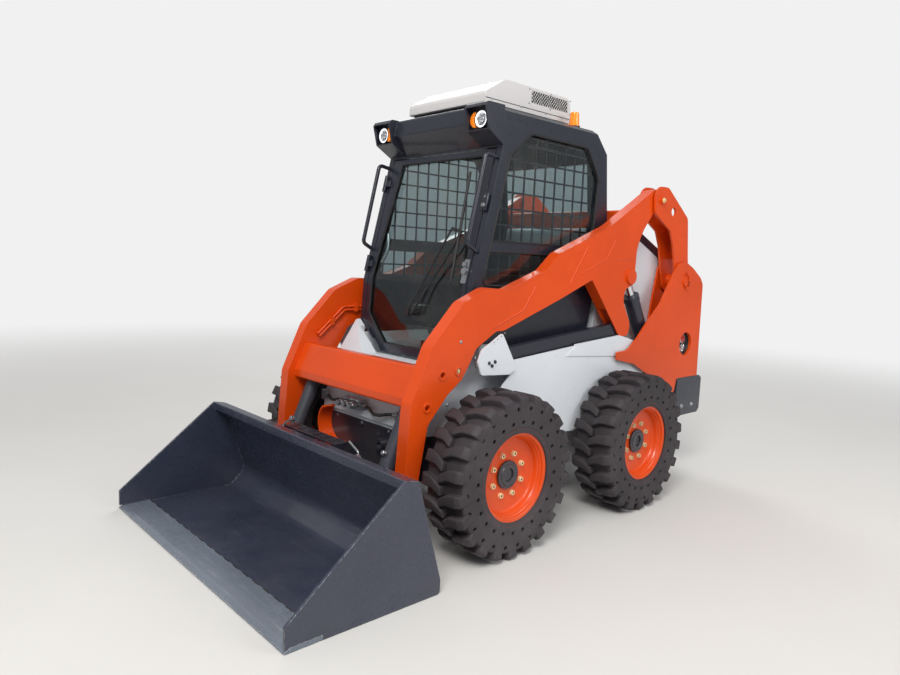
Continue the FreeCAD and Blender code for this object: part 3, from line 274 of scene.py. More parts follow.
def surface(name, colour, rough=0.4, metal=0.0, coat=0.0, vary=0.05, dust=0.0, dust_colour=DUST,
            dust_top=0.9, edge_wear_and_highlight=0.0, edge_wear_and_highlight_colour=(0.35, 0.34, 0.33), round_edge=0.0, peel=0.0,
            peel_scale=260.0, streak=0.0, spec=0.5, glow=0.0):
    """Paint, plastic or metal with uneven colour, dust from the ground up, fine bump, and edges chipped in a second
    colour that stands for wear and, on some finishes, a painted highlight.
    """
    material, n, out = new_material(name)
    shader = n.add("ShaderNodeBsdfPrincipled")
    n.feed(out, shader.outputs[0])
    coords = n.add("ShaderNodeTexCoord").outputs["Object"]
    cloud = n.noise(coords, 2.2, 5.0, 0.6)
    fine = n.noise(coords, 38.0, 4.0, 0.6)
    dark = rgba([c * (1 - 2.2 * vary) for c in colour])
    light = rgba([min(1.0, c * (1 + 1.2 * vary)) for c in colour])
    base = n.mix(n.span(cloud, 0.35, 0.65), dark, light)
    roughness = n.span(fine, 0.3, 0.7, max(0.02, rough - 0.05), rough + 0.06)
    if streak:
        lines = n.noise(n.stretched(coords, (3.0, 70.0, 70.0)), 1.0, 6.0, 0.7)
        mask = n.math("MULTIPLY", n.span(lines, 0.55, 0.75), streak)
        base = n.mix(mask, base, rgba(edge_wear_and_highlight_colour))
    if dust:
        height = n.add("ShaderNodeSeparateXYZ")
        n.feed(height.inputs[0], coords)
        low = n.span(height.outputs["Z"], dust_top, 0.0)
        patches = n.span(n.noise(coords, 3.5, 6.0, 0.6), 0.30, 0.75)
        specks = n.span(n.noise(coords, 60.0, 4.0, 0.7), 0.35, 0.75, 0.55, 1.0)
        film = n.math("MULTIPLY", n.math("MULTIPLY", low, patches), specks)
        film = n.math("MULTIPLY", film, dust, True)
        base = n.mix(film, base, rgba(dust_colour))
        roughness = n.math("ADD", roughness, n.math("MULTIPLY", film, 0.35), True)
    normal = None
    if round_edge or edge_wear_and_highlight:
        soft = n.add("ShaderNodeBevel", samples=4)
        normal = n.put(soft, Radius=max(round_edge, 0.0015)).outputs[0]
    # Chips of the second colour along the edges: worn paint, and on the orange, bucket and cutting edge finishes a
    # painted highlight along the edges.
    if edge_wear_and_highlight:
        turn = n.add("ShaderNodeVectorMath", operation="DOT_PRODUCT")
        n.feed(turn.inputs[0], normal)
        n.feed(turn.inputs[1], n.add("ShaderNodeNewGeometry").outputs["Normal"])
        edge = n.span(turn.outputs["Value"], 0.985, 0.80)
        chips = n.span(n.noise(coords, 55.0, 5.0, 0.7), 0.46, 0.60)
        worn_and_highlit_edges = n.math("MULTIPLY", n.math("MULTIPLY", edge, chips), edge_wear_and_highlight, True)
        base = n.mix(worn_and_highlit_edges, base, rgba(edge_wear_and_highlight_colour))
    if peel:
        bump = n.add("ShaderNodeBump")
        n.put(bump, Strength=peel, Distance=0.0015, Height=n.noise(coords, peel_scale, 3.0, 0.5))
        if normal is not None:
            n.put(bump, Normal=normal)
        normal = bump.outputs[0]
    if normal is not None:
        n.put(shader, Normal=normal)
    n.put(shader, Base_Color=rgba(colour), Roughness=rough, Metallic=metal, Specular_IOR_Level=spec)
    n.put(shader, Base_Color=base, Roughness=roughness)
    if coat:
        n.put(shader, Coat_Weight=coat, Coat_Roughness=0.06)
    if glow:
        n.put(shader, Emission_Color=rgba(colour), Emission_Strength=glow)
    return material


def glass(name, tint, rough, dirt):
    """Tinted glass with a faint film of dust."""
    material, n, out = new_material(name)
    coords = n.add("ShaderNodeTexCoord").outputs["Object"]
    shader = n.add("ShaderNodeBsdfPrincipled")
    n.put(shader, Base_Color=rgba(tint), Roughness=rough, Transmission_Weight=1.0, IOR=1.45)
    n.put(shader, Roughness=n.span(n.noise(coords, 6.0, 7.0, 0.7), 0.35, 0.75, rough, rough + 0.03))
    film = n.add("ShaderNodeBsdfPrincipled")
    n.put(film, Base_Color=(0.55, 0.52, 0.47, 1.0), Roughness=0.8)
    smudge = n.math("MULTIPLY", n.span(n.noise(coords, 3.0, 9.0, 0.75), 0.45, 0.85), dirt, True)
    n.feed(out, n.blend(smudge, shader.outputs[0], film.outputs[0]))
    return material


M = {
    # The orange paint's edges take a lighter orange: a painted highlight along them.
    "orange": surface("orange_paint", srgb(216, 72, 6), 0.34, coat=0.18, vary=0.03, dust=0.22, dust_top=0.55,
                      edge_wear_and_highlight=0.2, edge_wear_and_highlight_colour=srgb(250, 140, 90), round_edge=0.003, peel=0.03, spec=0.35),
    "white": surface("white_paint", srgb(216, 221, 227), 0.32, coat=0.3, vary=0.015, dust=0.35, dust_top=0.7,
                     edge_wear_and_highlight=0.2, edge_wear_and_highlight_colour=srgb(150, 148, 142), round_edge=0.003, peel=0.03),
    "black": surface("black_paint", srgb(30, 33, 46), 0.32, coat=0.3, dust=0.18, dust_top=1.2, edge_wear_and_highlight=0.25,
                     edge_wear_and_highlight_colour=srgb(96, 100, 112), round_edge=0.003, peel=0.03),
    # The bucket's and cutting edge's pale silver edges are partly worn bare steel and partly a painted highlight.
    "bucket": surface("bucket_paint", srgb(50, 55, 72), 0.30, coat=0.35, dust=0.25, dust_top=0.25,
                      edge_wear_and_highlight=1.0, edge_wear_and_highlight_colour=srgb(186, 190, 198), round_edge=0.004, peel=0.08,
                      peel_scale=120.0, streak=0.08, dust_colour=srgb(96, 96, 102)),
    "edge": surface("edge_paint", srgb(104, 112, 124), 0.26, coat=0.4, edge_wear_and_highlight=1.0,
                    edge_wear_and_highlight_colour=srgb(206, 210, 216), round_edge=0.004, peel=0.06, streak=0.2),
    "grey": surface("grey_paint", srgb(56, 60, 70), 0.40, vary=0.06, dust=0.25, edge_wear_and_highlight=0.25, round_edge=0.003,
                    peel=0.05),
    "engine": surface("engine_paint", srgb(44, 46, 50), 0.6, vary=0.15, dust=0.5, dust_top=1.2, peel=0.2,
                      peel_scale=60.0),
    "chrome": surface("chrome_rod", (0.80, 0.80, 0.82), 0.10, metal=1.0, vary=0.02),
    "steel": surface("bare_steel", srgb(168, 170, 174), 0.32, metal=0.9, vary=0.06, peel=0.05),
    "zinc": surface("zinc_plate", srgb(236, 214, 164), 0.38, metal=0.45, vary=0.08, peel=0.05),
    "rubber": surface("tyre_rubber", srgb(52, 48, 52), 0.64, vary=0.10, dust=0.38, dust_top=1.0,
                      dust_colour=srgb(112, 104, 104), round_edge=0.004, peel=0.30, peel_scale=90.0,
                      spec=0.4),
    "hose": surface("hose_rubber", srgb(30, 29, 30), 0.45, vary=0.08, dust=0.3, dust_top=1.2, peel=0.12),
    "roof": surface("roof_plastic", srgb(206, 204, 204), 0.42, vary=0.015, dust=0.08, dust_top=3.0,
                    round_edge=0.004, peel=0.05),
    "plastic": surface("black_plastic", srgb(26, 26, 29), 0.5, vary=0.08, dust=0.15, dust_top=2.0, peel=0.2,
                       peel_scale=300.0),
    "gasket": surface("gasket_rubber", srgb(18, 18, 20), 0.6, vary=0.08, dust=0.1, dust_top=2.4, peel=0.1),
    "vinyl": surface("seat_vinyl", srgb(34, 34, 38), 0.5, vary=0.06, peel=0.5, peel_scale=420.0),
    "thread": surface("seam_thread", srgb(92, 92, 98), 0.7, vary=0.1),
    "mirror": surface("lamp_reflector", (0.86, 0.87, 0.90), 0.08, metal=1.0, vary=0.03),
    "ring": surface("lamp_ring", srgb(244, 248, 252), 0.3, vary=0.01, glow=0.9),
    "lens": glass("lamp_lens", (0.95, 0.96, 0.97), 0.01, 0.05),
    "glass": glass("cab_glass", (0.70, 0.80, 0.80), 0.008, 0.08),
    "amber": surface("amber_lens", srgb(252, 138, 16), 0.16, coat=0.6, glow=0.15),
    "red": surface("red_lens", srgb(168, 18, 14), 0.18, coat=0.6, vary=0.06),
}

BY_NODE = {
    "orange": ("uprights", "hose_guard", "lift_arms", "arm_tubes", "rear_links"),
    "white": ("chassis", "fenders", "link_brackets", "engine_hood", "tailgate"),
    "black": ("front_guard", "cab_shell", "roof_visor", "window_guards", "grab_rails", "axle_housings",
              "door_frame", "control_links", "lift_cylinder_barrels", "quick_attach"),
    "grey": ("counterweight", "tilt_cylinder_barrels"),
    "bucket": ("bucket",),
    "edge": ("cutting_edge",),
    "chrome": ("lift_cylinder_rods", "tilt_cylinder_rods"),
    "steel": ("hydraulic_couplers", "door_latch", "latch_levers"),
    "hose": ("hose_left", "hose_right"),
    "plastic": ("roof_unit_base", "seat_base", "cab_controls", "door_wiper"),
    "glass": ("cab_glass", "door_glass"),
    "lens": ("headlamps",),
    "red": ("tail_lamps",),
    "amber": ("beacon",),
    "roof": ("roof_unit",),
    "engine": ("engine",),
    "vinyl": ("seat_cushions",),
}
CORNERS = ("front_left", "front_right", "rear_left", "rear_right")
SLOT = {
    "orange": "orange_paint", "white": "white_paint", "black": "black_paint", "bucket": "bucket_paint",
    "steel": "hub_steel", "zinc": "hub_steel", "mirror": "chrome_rod", "rubber": "tyre_rubber",
    "hose": "hose_rubber", "gasket": "hose_rubber", "roof": "roof_plastic", "plastic": "black_plastic",
    "vinyl": "seat_vinyl", "thread": "seat_vinyl", "ring": "lamp_lens", "lens": "lamp_lens",
    "amber": "amber_lens", "red": "red_lens",
}


def dress(obj, key):
    obj.data.materials.clear()
    obj.data.materials.append(M[key])


for key, nodes in BY_NODE.items():
    for node in nodes:
        dress(NODES[node], key)
for corner in CORNERS:
    dress(NODES["tyre_" + corner], "rubber")
    dress(NODES["rim_" + corner], "orange")
    dress(NODES["hub_" + corner], "black")


# Camera, light and floor

BACKDROP = (0.88, 0.88, 0.88, 1.0)


def add_to_scene(obj):
    bpy.context.scene.collection.objects.link(obj)
    return obj


def new_object(name, bm):
    """An object in the scene that takes the mesh being built."""
    mesh = bpy.data.meshes.new(name)
    bm.to_mesh(mesh)
    bm.free()
    return add_to_scene(bpy.data.objects.new(name, mesh))


def photo_camera():
    """The camera as solved from the photograph: focal length in its pixels, angles in degrees."""
    focal, azimuth, elevation, roll = 687.03, 47.16, 6.34, 2.39
    photo_width = 900.0
    a, e, r = (math.radians(v) for v in (azimuth, elevation, roll))
    back = Vector((math.sin(a) * math.cos(e), -math.cos(a) * math.cos(e), math.sin(e)))
    right = Vector((math.cos(a), math.sin(a), 0.0))
    up = back.cross(right)
    turned_right = right * math.cos(r) + up * math.sin(r)
    turned_up = up * math.cos(r) - right * math.sin(r)
    data = bpy.data.cameras.new("camera")
    data.sensor_width = 36.0
    data.lens = focal * data.sensor_width / photo_width
    data.clip_end = 200.0
    camera = add_to_scene(bpy.data.objects.new("camera", data))
    rotation = Matrix((turned_right, turned_up, back)).transposed()
    camera.matrix_world = Matrix.Translation(P(2826.25, -3385.98, 1353.95)) @ rotation.to_4x4()
    bpy.context.scene.camera = camera


def area_light(name, place, size, watts, colour=(1, 1, 1)):
    """A round soft light that looks at the middle of the machine."""
    target = Vector((0, 0, 0.8))
    data = bpy.data.lights.new(name, "AREA")
    data.shape = "DISK"
    data.size = size
    data.energy = watts
    data.color = colour
    light = add_to_scene(bpy.data.objects.new(name, data))
    light.location = place
    light.rotation_euler = (target - Vector(place)).to_track_quat("-Z", "Y").to_euler()


def world_light():
    """A soft sky that is paler above, seen by the camera as a plain backdrop."""
    world = bpy.data.worlds.new("studio")
    bpy.context.scene.world = world
    world.use_nodes = True
    n = Nodes(world.node_tree)
    out = n.add("ShaderNodeOutputWorld")
    direction = n.add("ShaderNodeSeparateXYZ")
    n.feed(direction.inputs[0], n.add("ShaderNodeTexCoord").outputs["Generated"])
    height = n.span(direction.outputs["Z"], -0.15, 0.85)
    sky = n.mix(height, (0.40, 0.42, 0.45, 1.0), (1.0, 1.0, 1.0, 1.0))
    lit = n.put(n.add("ShaderNodeBackground"), Color=sky, Strength=0.62)
    plain = n.put(n.add("ShaderNodeBackground"), Color=BACKDROP, Strength=1.0)
    seen = n.add("ShaderNodeLightPath").outputs["Is Camera Ray"]
    n.feed(out.inputs["Surface"], n.blend(seen, lit.outputs[0], plain.outputs[0]))


def floor():
    """A pale floor, a millimetre low, that fades into the backdrop far from the machine."""
    bm = bmesh.new()
    bmesh.ops.create_circle(bm, cap_ends=True, segments=64, radius=40.0)
    plane = new_object("floor", bm)
    plane.location = (0.0, 0.0, -0.001)
    material, n, out = new_material("floor")
    shader = n.add("ShaderNodeBsdfPrincipled")
    coords = n.add("ShaderNodeTexCoord").outputs["Object"]
    tone = n.mix(n.noise(coords, 0.8, 5.0), (0.62, 0.61, 0.59, 1.0), (0.68, 0.67, 0.65, 1.0))
    n.put(shader, Base_Color=tone, Roughness=0.85)
    distance = n.add("ShaderNodeVectorMath", operation="LENGTH")
    n.feed(distance.inputs[0], coords)
    far = n.span(distance.outputs["Value"], 3.0, 11.0)
    glow = n.put(n.add("ShaderNodeEmission"), Color=BACKDROP, Strength=1.0)
    seen = n.math("MULTIPLY", far, n.add("ShaderNodeLightPath").outputs["Is Camera Ray"])
    n.feed(out, n.blend(seen, shader.outputs[0], glow.outputs[0]))
    plane.data.materials.append(material)
    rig.stage(plane)


bpy.context.scene.view_settings.view_transform = "Standard"
photo_camera()
world_light()
floor()
area_light("key", (3.5, -4.5, 6.0), 3.0, 420.0, (1.0, 0.98, 0.95))
area_light("side", (6.0, 2.0, 3.5), 3.0, 110.0)
area_light("back", (-4.5, 3.5, 5.0), 3.0, 130.0, (0.96, 0.98, 1.0))


# Mesh helpers, in millimetres of a local frame that a matrix places

def soften(obj, angle):
    """Smooth shading that breaks where two faces turn by more than the angle in degrees."""
    for polygon in obj.data.polygons:
        polygon.use_smooth = True
    obj.data.set_sharp_from_angle(angle=math.radians(angle))


def bevel_edges(obj, width):
    """Edges rounded by a width in millimetres, written into the mesh."""
    mod = obj.modifiers.new("edges", "BEVEL")
    mod.width = width / 1000.0
    mod.segments = 2
    mod.limit_method = "ANGLE"
    mod.angle_limit = math.radians(35)
    depsgraph = bpy.context.evaluated_depsgraph_get()
    mesh = bpy.data.meshes.new_from_object(obj.evaluated_get(depsgraph))
    obj.modifiers.clear()
    obj.data = mesh


def piece(name, bm, key, body, smooth=40.0, bevel=0.0):
    """A mesh in the row frame as an object that rides on a body."""
    bmesh.ops.recalc_face_normals(bm, faces=bm.faces)
    obj = new_object(name, bm)
    if bevel:
        bevel_edges(obj, bevel)
    soften(obj, smooth)
    dress(obj, key)
    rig.ride(obj, body)
    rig.slot(obj, SLOT[key])
    return obj


def at(place, matrix):
    """A point in local millimetres through a matrix in metres."""
    return matrix @ (Vector(place) / 1000.0)


def shifted(matrix, x, y=0.0, z=0.0):
    """A matrix moved in its own axes, in millimetres."""
    return matrix @ Matrix.Translation(Vector((x, y, z)) / 1000.0)


def polar(x, radius, angle):
    return (x, radius * math.sin(angle), radius * math.cos(angle))


def around(matrix, x, radius, count, start=0.5):
    """Matrices evenly spaced round the local X axis."""
    for i in range(count):
        yield shifted(matrix, *polar(x, radius, 2 * math.pi * (i + start) / count))


def bridge(bm, *loops):
    """Quads between closed loops of vertices."""
    count = len(loops[0])
    for i in range(count):
        j = (i + 1) % count
        for low, high in zip(loops, loops[1:]):
            bm.faces.new((low[i], low[j], high[j], high[i]))


def skin(bm, rings, closed=False):
    """Quads from ring to ring, with the two end rings joined or each capped."""
    for low, high in zip(rings, rings[1:]):
        bridge(bm, low, high)
    if closed:
        bridge(bm, rings[-1], rings[0])
    else:
        bm.faces.new(rings[0])
        bm.faces.new(rings[-1])


def turned(bm, profile, matrix, segments=48, closed=False):
    """A body turned about the local X axis from (x, radius) points, capped unless its profile closes."""
    angles = [2 * math.pi * i / segments for i in range(segments)]
    rings = [[bm.verts.new(at(polar(x, radius, a), matrix)) for a in angles] for x, radius in profile]
    skin(bm, rings, closed)


def prism(bm, outline, depth, matrix):
    """An outline of (u, v) points in the local YZ plane, made solid along local X from 0 to depth."""
    low, high = [[bm.verts.new(at((x, u, v), matrix)) for u, v in outline] for x in (0, depth)]
    bm.faces.new(low)
    bm.faces.new(high)
    bridge(bm, low, high)


def block(bm, matrix, half_x, half_y, half_z, low_x=None):
    """A small block centred on a matrix, or from low_x to half_x along its X axis."""
    low = -half_x if low_x is None else low_x
    outline = [(-half_y, -half_z), (half_y, -half_z), (half_y, half_z), (-half_y, half_z)]
    prism(bm, outline, half_x - low, shifted(matrix, low))


def circle(radius, count):
    angles = [2 * math.pi * (i + 0.5) / count for i in range(count)]
    return [(radius * math.sin(a), radius * math.cos(a)) for a in angles]


def facing(place, direction, up=(0, 0, 1)):
    """A matrix at a point in metres whose local X axis points in a direction."""
    x = Vector(direction).normalized()
    z = Vector(up) - x * x.dot(Vector(up))
    if z.length < 1e-4:
        z = Vector((0, 1, 0)) - x * x.dot(Vector((0, 1, 0)))
    z.normalize()
    y = z.cross(x)
    return Matrix.Translation(place) @ Matrix((x, y, z)).transposed().to_4x4()


def hex_bolt(bm, matrix, across, height, washer=True):
    """A hexagon head with a domed top and a washer, standing along local X."""
    r = across / math.sqrt(3)
    base = 2.4 if washer else 0.0
    if washer:
        turned(bm, [(0, r * 1.45), (2, r * 1.45), (base, r * 1.35), (base, 1)], matrix, 24)
    rings = ((base, 1.0), (base + height * 0.85, 1.0), (base + height, 0.82))
    skin(bm, [[bm.verts.new(at((x, u, v), matrix)) for u, v in circle(r * share, 6)] for x, share in rings])


def dome_bolt(bm, matrix, radius, height):
    """A low round bolt head along local X."""
    dome = ((0, 1.0), (0.5, 0.96), (0.85, 0.7), (1.0, 0.3))
    turned(bm, [(height * up, radius * share) for up, share in dome], matrix, 20)


def rounded(corners, steps):
    """An outline of (u, v, corner radius) points with its corners made round."""
    points = []
    count = len(corners)
    for i in range(count):
        before, here, after = (Vector(corners[(i + k) % count][:2]) for k in (-1, 0, 1))
        radius = corners[i][2]
        a, b = (before - here).normalized(), (after - here).normalized()
        half = a.angle(b) / 2
        if radius <= 0 or abs(half - math.pi / 2) < 0.01:
            points.append(tuple(here))
            continue
        reach = radius / math.tan(half)
        centre = here + (a + b).normalized() * (radius / math.sin(half))
        start, end = here + a * reach - centre, here + b * reach - centre
        for k in range(steps + 1):
            t = k / steps
            arm = (start * (1 - t) + end * t).normalized() * radius
            points.append(tuple(centre + arm))
    return points


def weld(bm, start, end):
    """A bead of weld from one point to another, in metres, with its ripples."""
    radius, pitch = 4.5, 5.0
    length = (end - start).length * 1000
    count = max(3, int(length / pitch))
    profile = [(0.0, radius * 0.5)]
    for i in range(count):
        x = length * i / count
        profile += [(x + 0.25 * length / count, radius), (x + 0.8 * length / count, radius * 0.82)]
    profile.append((length, radius * 0.5))
    turned(bm, profile, facing(start, end - start), 8)


# Wheels, in a frame whose X axis points outwards from the middle of the wheel

LUGS = 22
LUG_STEP = 2 * math.pi / LUGS
SECTORS = 96
WALL_LOW = 247.0
WALL_HIGH = 333.0
HOLE_DEPTH = 62.0
DISC = 44.0  # how far out the front face of the rim's disc stands


def wheel_places():
    places = {}
    for corner in CORNERS:
        low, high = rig.box("tyre_" + corner)
        side = 1.0 if corner.endswith("left") else -1.0
        middle = Matrix.Translation((Vector(low) + Vector(high)) / 2)
        places[corner] = middle @ Matrix.Diagonal((side, 1.0, 1.0, 1.0))
    return places


def tyre_radius():
    low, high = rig.box("tyre_front_left")
    return (high[1] - low[1]) * 500.0


def wall_x(radius):
    """How far out the sidewall stands at a radius, with a slight bulge."""
    return 116.5 + 2.0 * math.sin(math.pi * min(1.0, max(0.0, (radius - 240.0) / 105.0)))


def sidewall(bm, matrix, side):
    """The flat of one sidewall, with two rows of round holes half a step apart."""
    rows = [(WALL_LOW, 270.0, 0), (270.0, 309.0, None), (309.0, WALL_HIGH, 1)]
    step = 2 * math.pi / SECTORS

    def spot(radius, index, inwards=0.0):
        return bm.verts.new(at(polar(side * (wall_x(radius) - inwards), radius, index * step), matrix))

    for low, high, phase in rows:
        if phase is None:
            for i in range(SECTORS):
                bm.faces.new([spot(low, i), spot(low, i + 1), spot(high, i + 1), spot(high, i)])
            continue
        mid = (low + high) / 2
        for i in range(0, SECTORS, 2):
            rim = [spot(low, i), spot(low, i + 1), spot(low, i + 2), spot(mid, i + 2), spot(high, i + 2),
                   spot(high, i + 1), spot(high, i), spot(mid, i)]
            if i // 2 % 2 != phase:
                centre = spot(mid, i + 1)
                for k in range(8):
                    bm.faces.new([rim[k], rim[(k + 1) % 8], centre])
                continue
            hole = (high - low) * 0.45
            wide = hole / (mid * step)
            ring, foot = [], []
            for k in range(8):
                a = -math.pi / 4 * (3 + k)
                along, out = wide * math.sin(a), hole * math.cos(a)
                ring.append(spot(mid + out, i + 1 + along))
                foot.append(spot(mid + out * 0.7, i + 1 + along * 0.7, HOLE_DEPTH))
            bridge(bm, rim, ring, foot)
            bm.faces.new(foot)


def lug_shape(radius):
    """One lug: a thick block at the shoulder that bends into a slanting bar, with rounded edges."""
    # x, place round the tread in steps from lug to lug, depth of the top below the tread
    plan = [(124.0, -0.13, 15.0), (124.0, 0.37, 15.0), (98.0, 0.37, 0.0), (48.0, 0.30, 0.0),
            (-8.0, 0.02, 0.0), (-8.0, -0.36, 0.0), (42.0, -0.15, 0.0), (98.0, -0.13, 0.0)]
    bm = bmesh.new()
    top, foot = [], []
    middle = sum(t for _, t, _ in plan) / len(plan)
    for x, t, drop in plan:
        foot_x, foot_radius = (117.0, 320.0) if x > 120.0 else (x, 338.0)
        spread = middle + (t - middle) * 1.10
        top.append(bm.verts.new(polar(x, radius - drop, t * LUG_STEP)))
        foot.append(bm.verts.new(polar(foot_x, foot_radius, spread * LUG_STEP)))
    for quad in ((0, 1, 2, 7), (7, 2, 3, 6), (6, 3, 4, 5)):
        bm.faces.new([top[k] for k in quad])
    bridge(bm, top, foot)
    bm.faces.new(foot)
    bmesh.ops.recalc_face_normals(bm, faces=bm.faces)
    edges = [e for e in bm.edges if e.is_manifold and e.calc_face_angle(0) > 0.5
             and not all(v in foot for v in e.verts)]
    bmesh.ops.bevel(bm, geom=edges, offset=6.0, segments=3, profile=0.5, affect="EDGES", clamp_overlap=True)
    points = [v.co.copy() for v in bm.verts]
    faces = [[v.index for v in f.verts] for f in bm.faces]
    bm.free()
    return points, faces


def tyre(name, matrix):
    """A solid tyre: casing with beads, pierced sidewalls and two rows of lugs half a step apart."""
    bm = bmesh.new()
    wall = [(113.0, 208.0), (113.5, 229.0), (116.0, 236.0), (118.0, 240.0), (117.6, 243.0),
            (wall_x(WALL_LOW), WALL_LOW)]
    shoulder = [(wall_x(WALL_HIGH), WALL_HIGH), (wall_x(340.0) - 1, 340.0), (112.0, 347.0), (104.0, 351.0),
                (90.0, 353.0)]
    turned(bm, [(-x, r) for x, r in reversed(wall)] + wall, matrix, SECTORS)
    turned(bm, shoulder + [(-x, r) for x, r in reversed(shoulder)], matrix, SECTORS)
    caps = [f for f in bm.faces if len(f.verts) == SECTORS]
    bmesh.ops.delete(bm, geom=caps, context="FACES_ONLY")
    for side in SIDES:
        sidewall(bm, matrix, side)
    bmesh.ops.remove_doubles(bm, verts=bm.verts, dist=0.0002)
    points, faces = lug_shape(tyre_radius())
    for row, side in ((0.0, 1.0), (0.5, -1.0)):
        for i in range(LUGS):
            spin = Matrix.Rotation(-(i + row) * LUG_STEP, 4, "X")
            place = matrix @ spin @ Matrix.Diagonal((side, 1.0, 1.0, 1.0))
            verts = [bm.verts.new(at(p, place)) for p in points]
            for face in faces:
                bm.faces.new([verts[k] for k in face])
    obj = piece("tyre_tread_" + name, bm, "rubber", "wheel_" + name, smooth=32)
    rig.replaces(obj, "tyre_" + name)


def rim(name, matrix):
    """The dished rim with its rolled flange, stepped well and disc, and the valve stem."""
    outer = [(DISC, 60.0), (DISC, 168.0), (DISC + 3, 174.0), (DISC + 9, 178.0), (DISC + 26, 181.0),
             (DISC + 29, 184.0), (DISC + 41, 187.0), (DISC + 44, 191.0), (99.0, 194.0), (102.0, 199.0),
             (104.0, 210.0), (107.0, 214.0), (110.0, 222.0), (113.0, 225.0), (113.5, 227.0), (112.5, 228.4),
             (108.0, 228.4), (104.0, 224.0), (100.0, 206.0)]
    inner = [(-100.0, 206.0), (-104.0, 224.0), (-108.0, 228.4), (-113.0, 228.0), (-113.0, 218.0),
             (-98.0, 198.0), (DISC - 12, 178.0), (DISC - 12, 60.0)]
    bm = bmesh.new()
    turned(bm, outer + inner, matrix, 96, closed=True)
    valve = shifted(matrix, 0, 0, 186.0) @ Matrix.Rotation(math.radians(-12), 4, "Y")
    turned(bm, [(70, 3.5), (96, 3.5), (96.5, 5), (106, 5), (107, 3)], valve, 12)
    obj = piece("rim_" + name + "_turned", bm, "orange", "wheel_" + name, smooth=32)
    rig.replaces(obj, "rim_" + name)


def hub(name, matrix):
    """The dark hub: drum behind the disc, cap with its bore and small screws, studs in pale rings."""
    cap, nuts, studs = bmesh.new(), bmesh.new(), bmesh.new()
    drum = [(-72, 30.1), (-72, 85), (-34, 85), (-26, 130), (-12, 130), (-12, 59.5), (2, 59.5), (2, 67),
            (11, 67), (14, 64), (14, 52), (18, 49), (18, 33), (15, 30.1)]
    ring = [(0, 14.5), (2.5, 14.5), (4, 13), (12, 12), (13.5, 10.5), (13.5, 6.5), (9, 6), (0, 6)]
    disc = shifted(matrix, DISC)
    turned(cap, drum, disc, 64, closed=True)
    turned(cap, [(4, 30.0), (8, 29.0), (8, 9.0), (3, 7.0)], disc, 40)
    for place in around(disc, 14.0, 58.0, 6):
        dome_bolt(cap, place, 3.6, 3.0)
    for place in around(disc, 0.0, 101.5, 8):
        turned(nuts, ring, place, 28, True)
        turned(studs, [(0.5, 5.9), (10.5, 5.9), (11.5, 4.5)], place, 16)
        turned(studs, [(0, 8.0), (-12, 8.0)], place, 12)
    for part, bm, key, angle in (("_cap", cap, "black", 32), ("_nuts", nuts, "zinc", 30),
                                 ("_studs", studs, "black", 30)):
        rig.replaces(piece("hub_" + name + part, bm, key, "wheel_" + name, smooth=angle), "hub_" + name)


for corner, matrix in wheel_places().items():
    tyre(corner, matrix)
    rim(corner, matrix)
    hub(corner, matrix)


# Body details, placed by the distance of each outer face from the middle of the machine

CAB_X = 450.0
HOOD_X = 444.0
ARM_X = 565.0
BRACKET_X = 588.0
REAR_X = 602.0
ROOF_UNIT_X = 300.0
CAB_FRONT = [(-1062.0, 825.0), (-1062.0, 1005.0), (-1048.0, 1235.0), (-880.0, 1928.0)]


def on_front(x, z, out=0.0):
    """A point of the cab's bent front at a height, moved out ahead of it."""
    for (y0, z0), (y1, z1) in zip(CAB_FRONT, CAB_FRONT[1:]):
        if z <= z1 or z1 == CAB_FRONT[-1][1]:
            length = math.hypot(y1 - y0, z1 - z0)
            y = y0 + (y1 - y0) * (z - z0) / (z1 - z0)
            return (x, y - out * (z1 - z0) / length, z + out * (y1 - y0) / length)


def tube(bm, points, radius, closed=False):
    """A round bead along points given in design millimetres."""
    places = [P(*p) for p in points]
    rings = []
    for i, place in enumerate(places):
        before = places[i - 1] if i or closed else place
        after = places[(i + 1) % len(places)] if i + 1 < len(places) or closed else place
        frame_at = facing(place, after - before)
        rings.append([bm.verts.new(at((0, u, v), frame_at)) for u, v in circle(radius, 8)])
    skin(bm, rings, closed)


def side_frame(x, y, z, side):
    """A matrix at a point of one side of the machine whose local X axis points outwards."""
    return facing(P(side * x, y, z), (side, 0, 0))


def on_sides(x, spots):
    """Matrices at the same (y, z) spots of both sides, with their X axes outwards."""
    return [side_frame(x, y, z, side) for side in SIDES for y, z in spots]


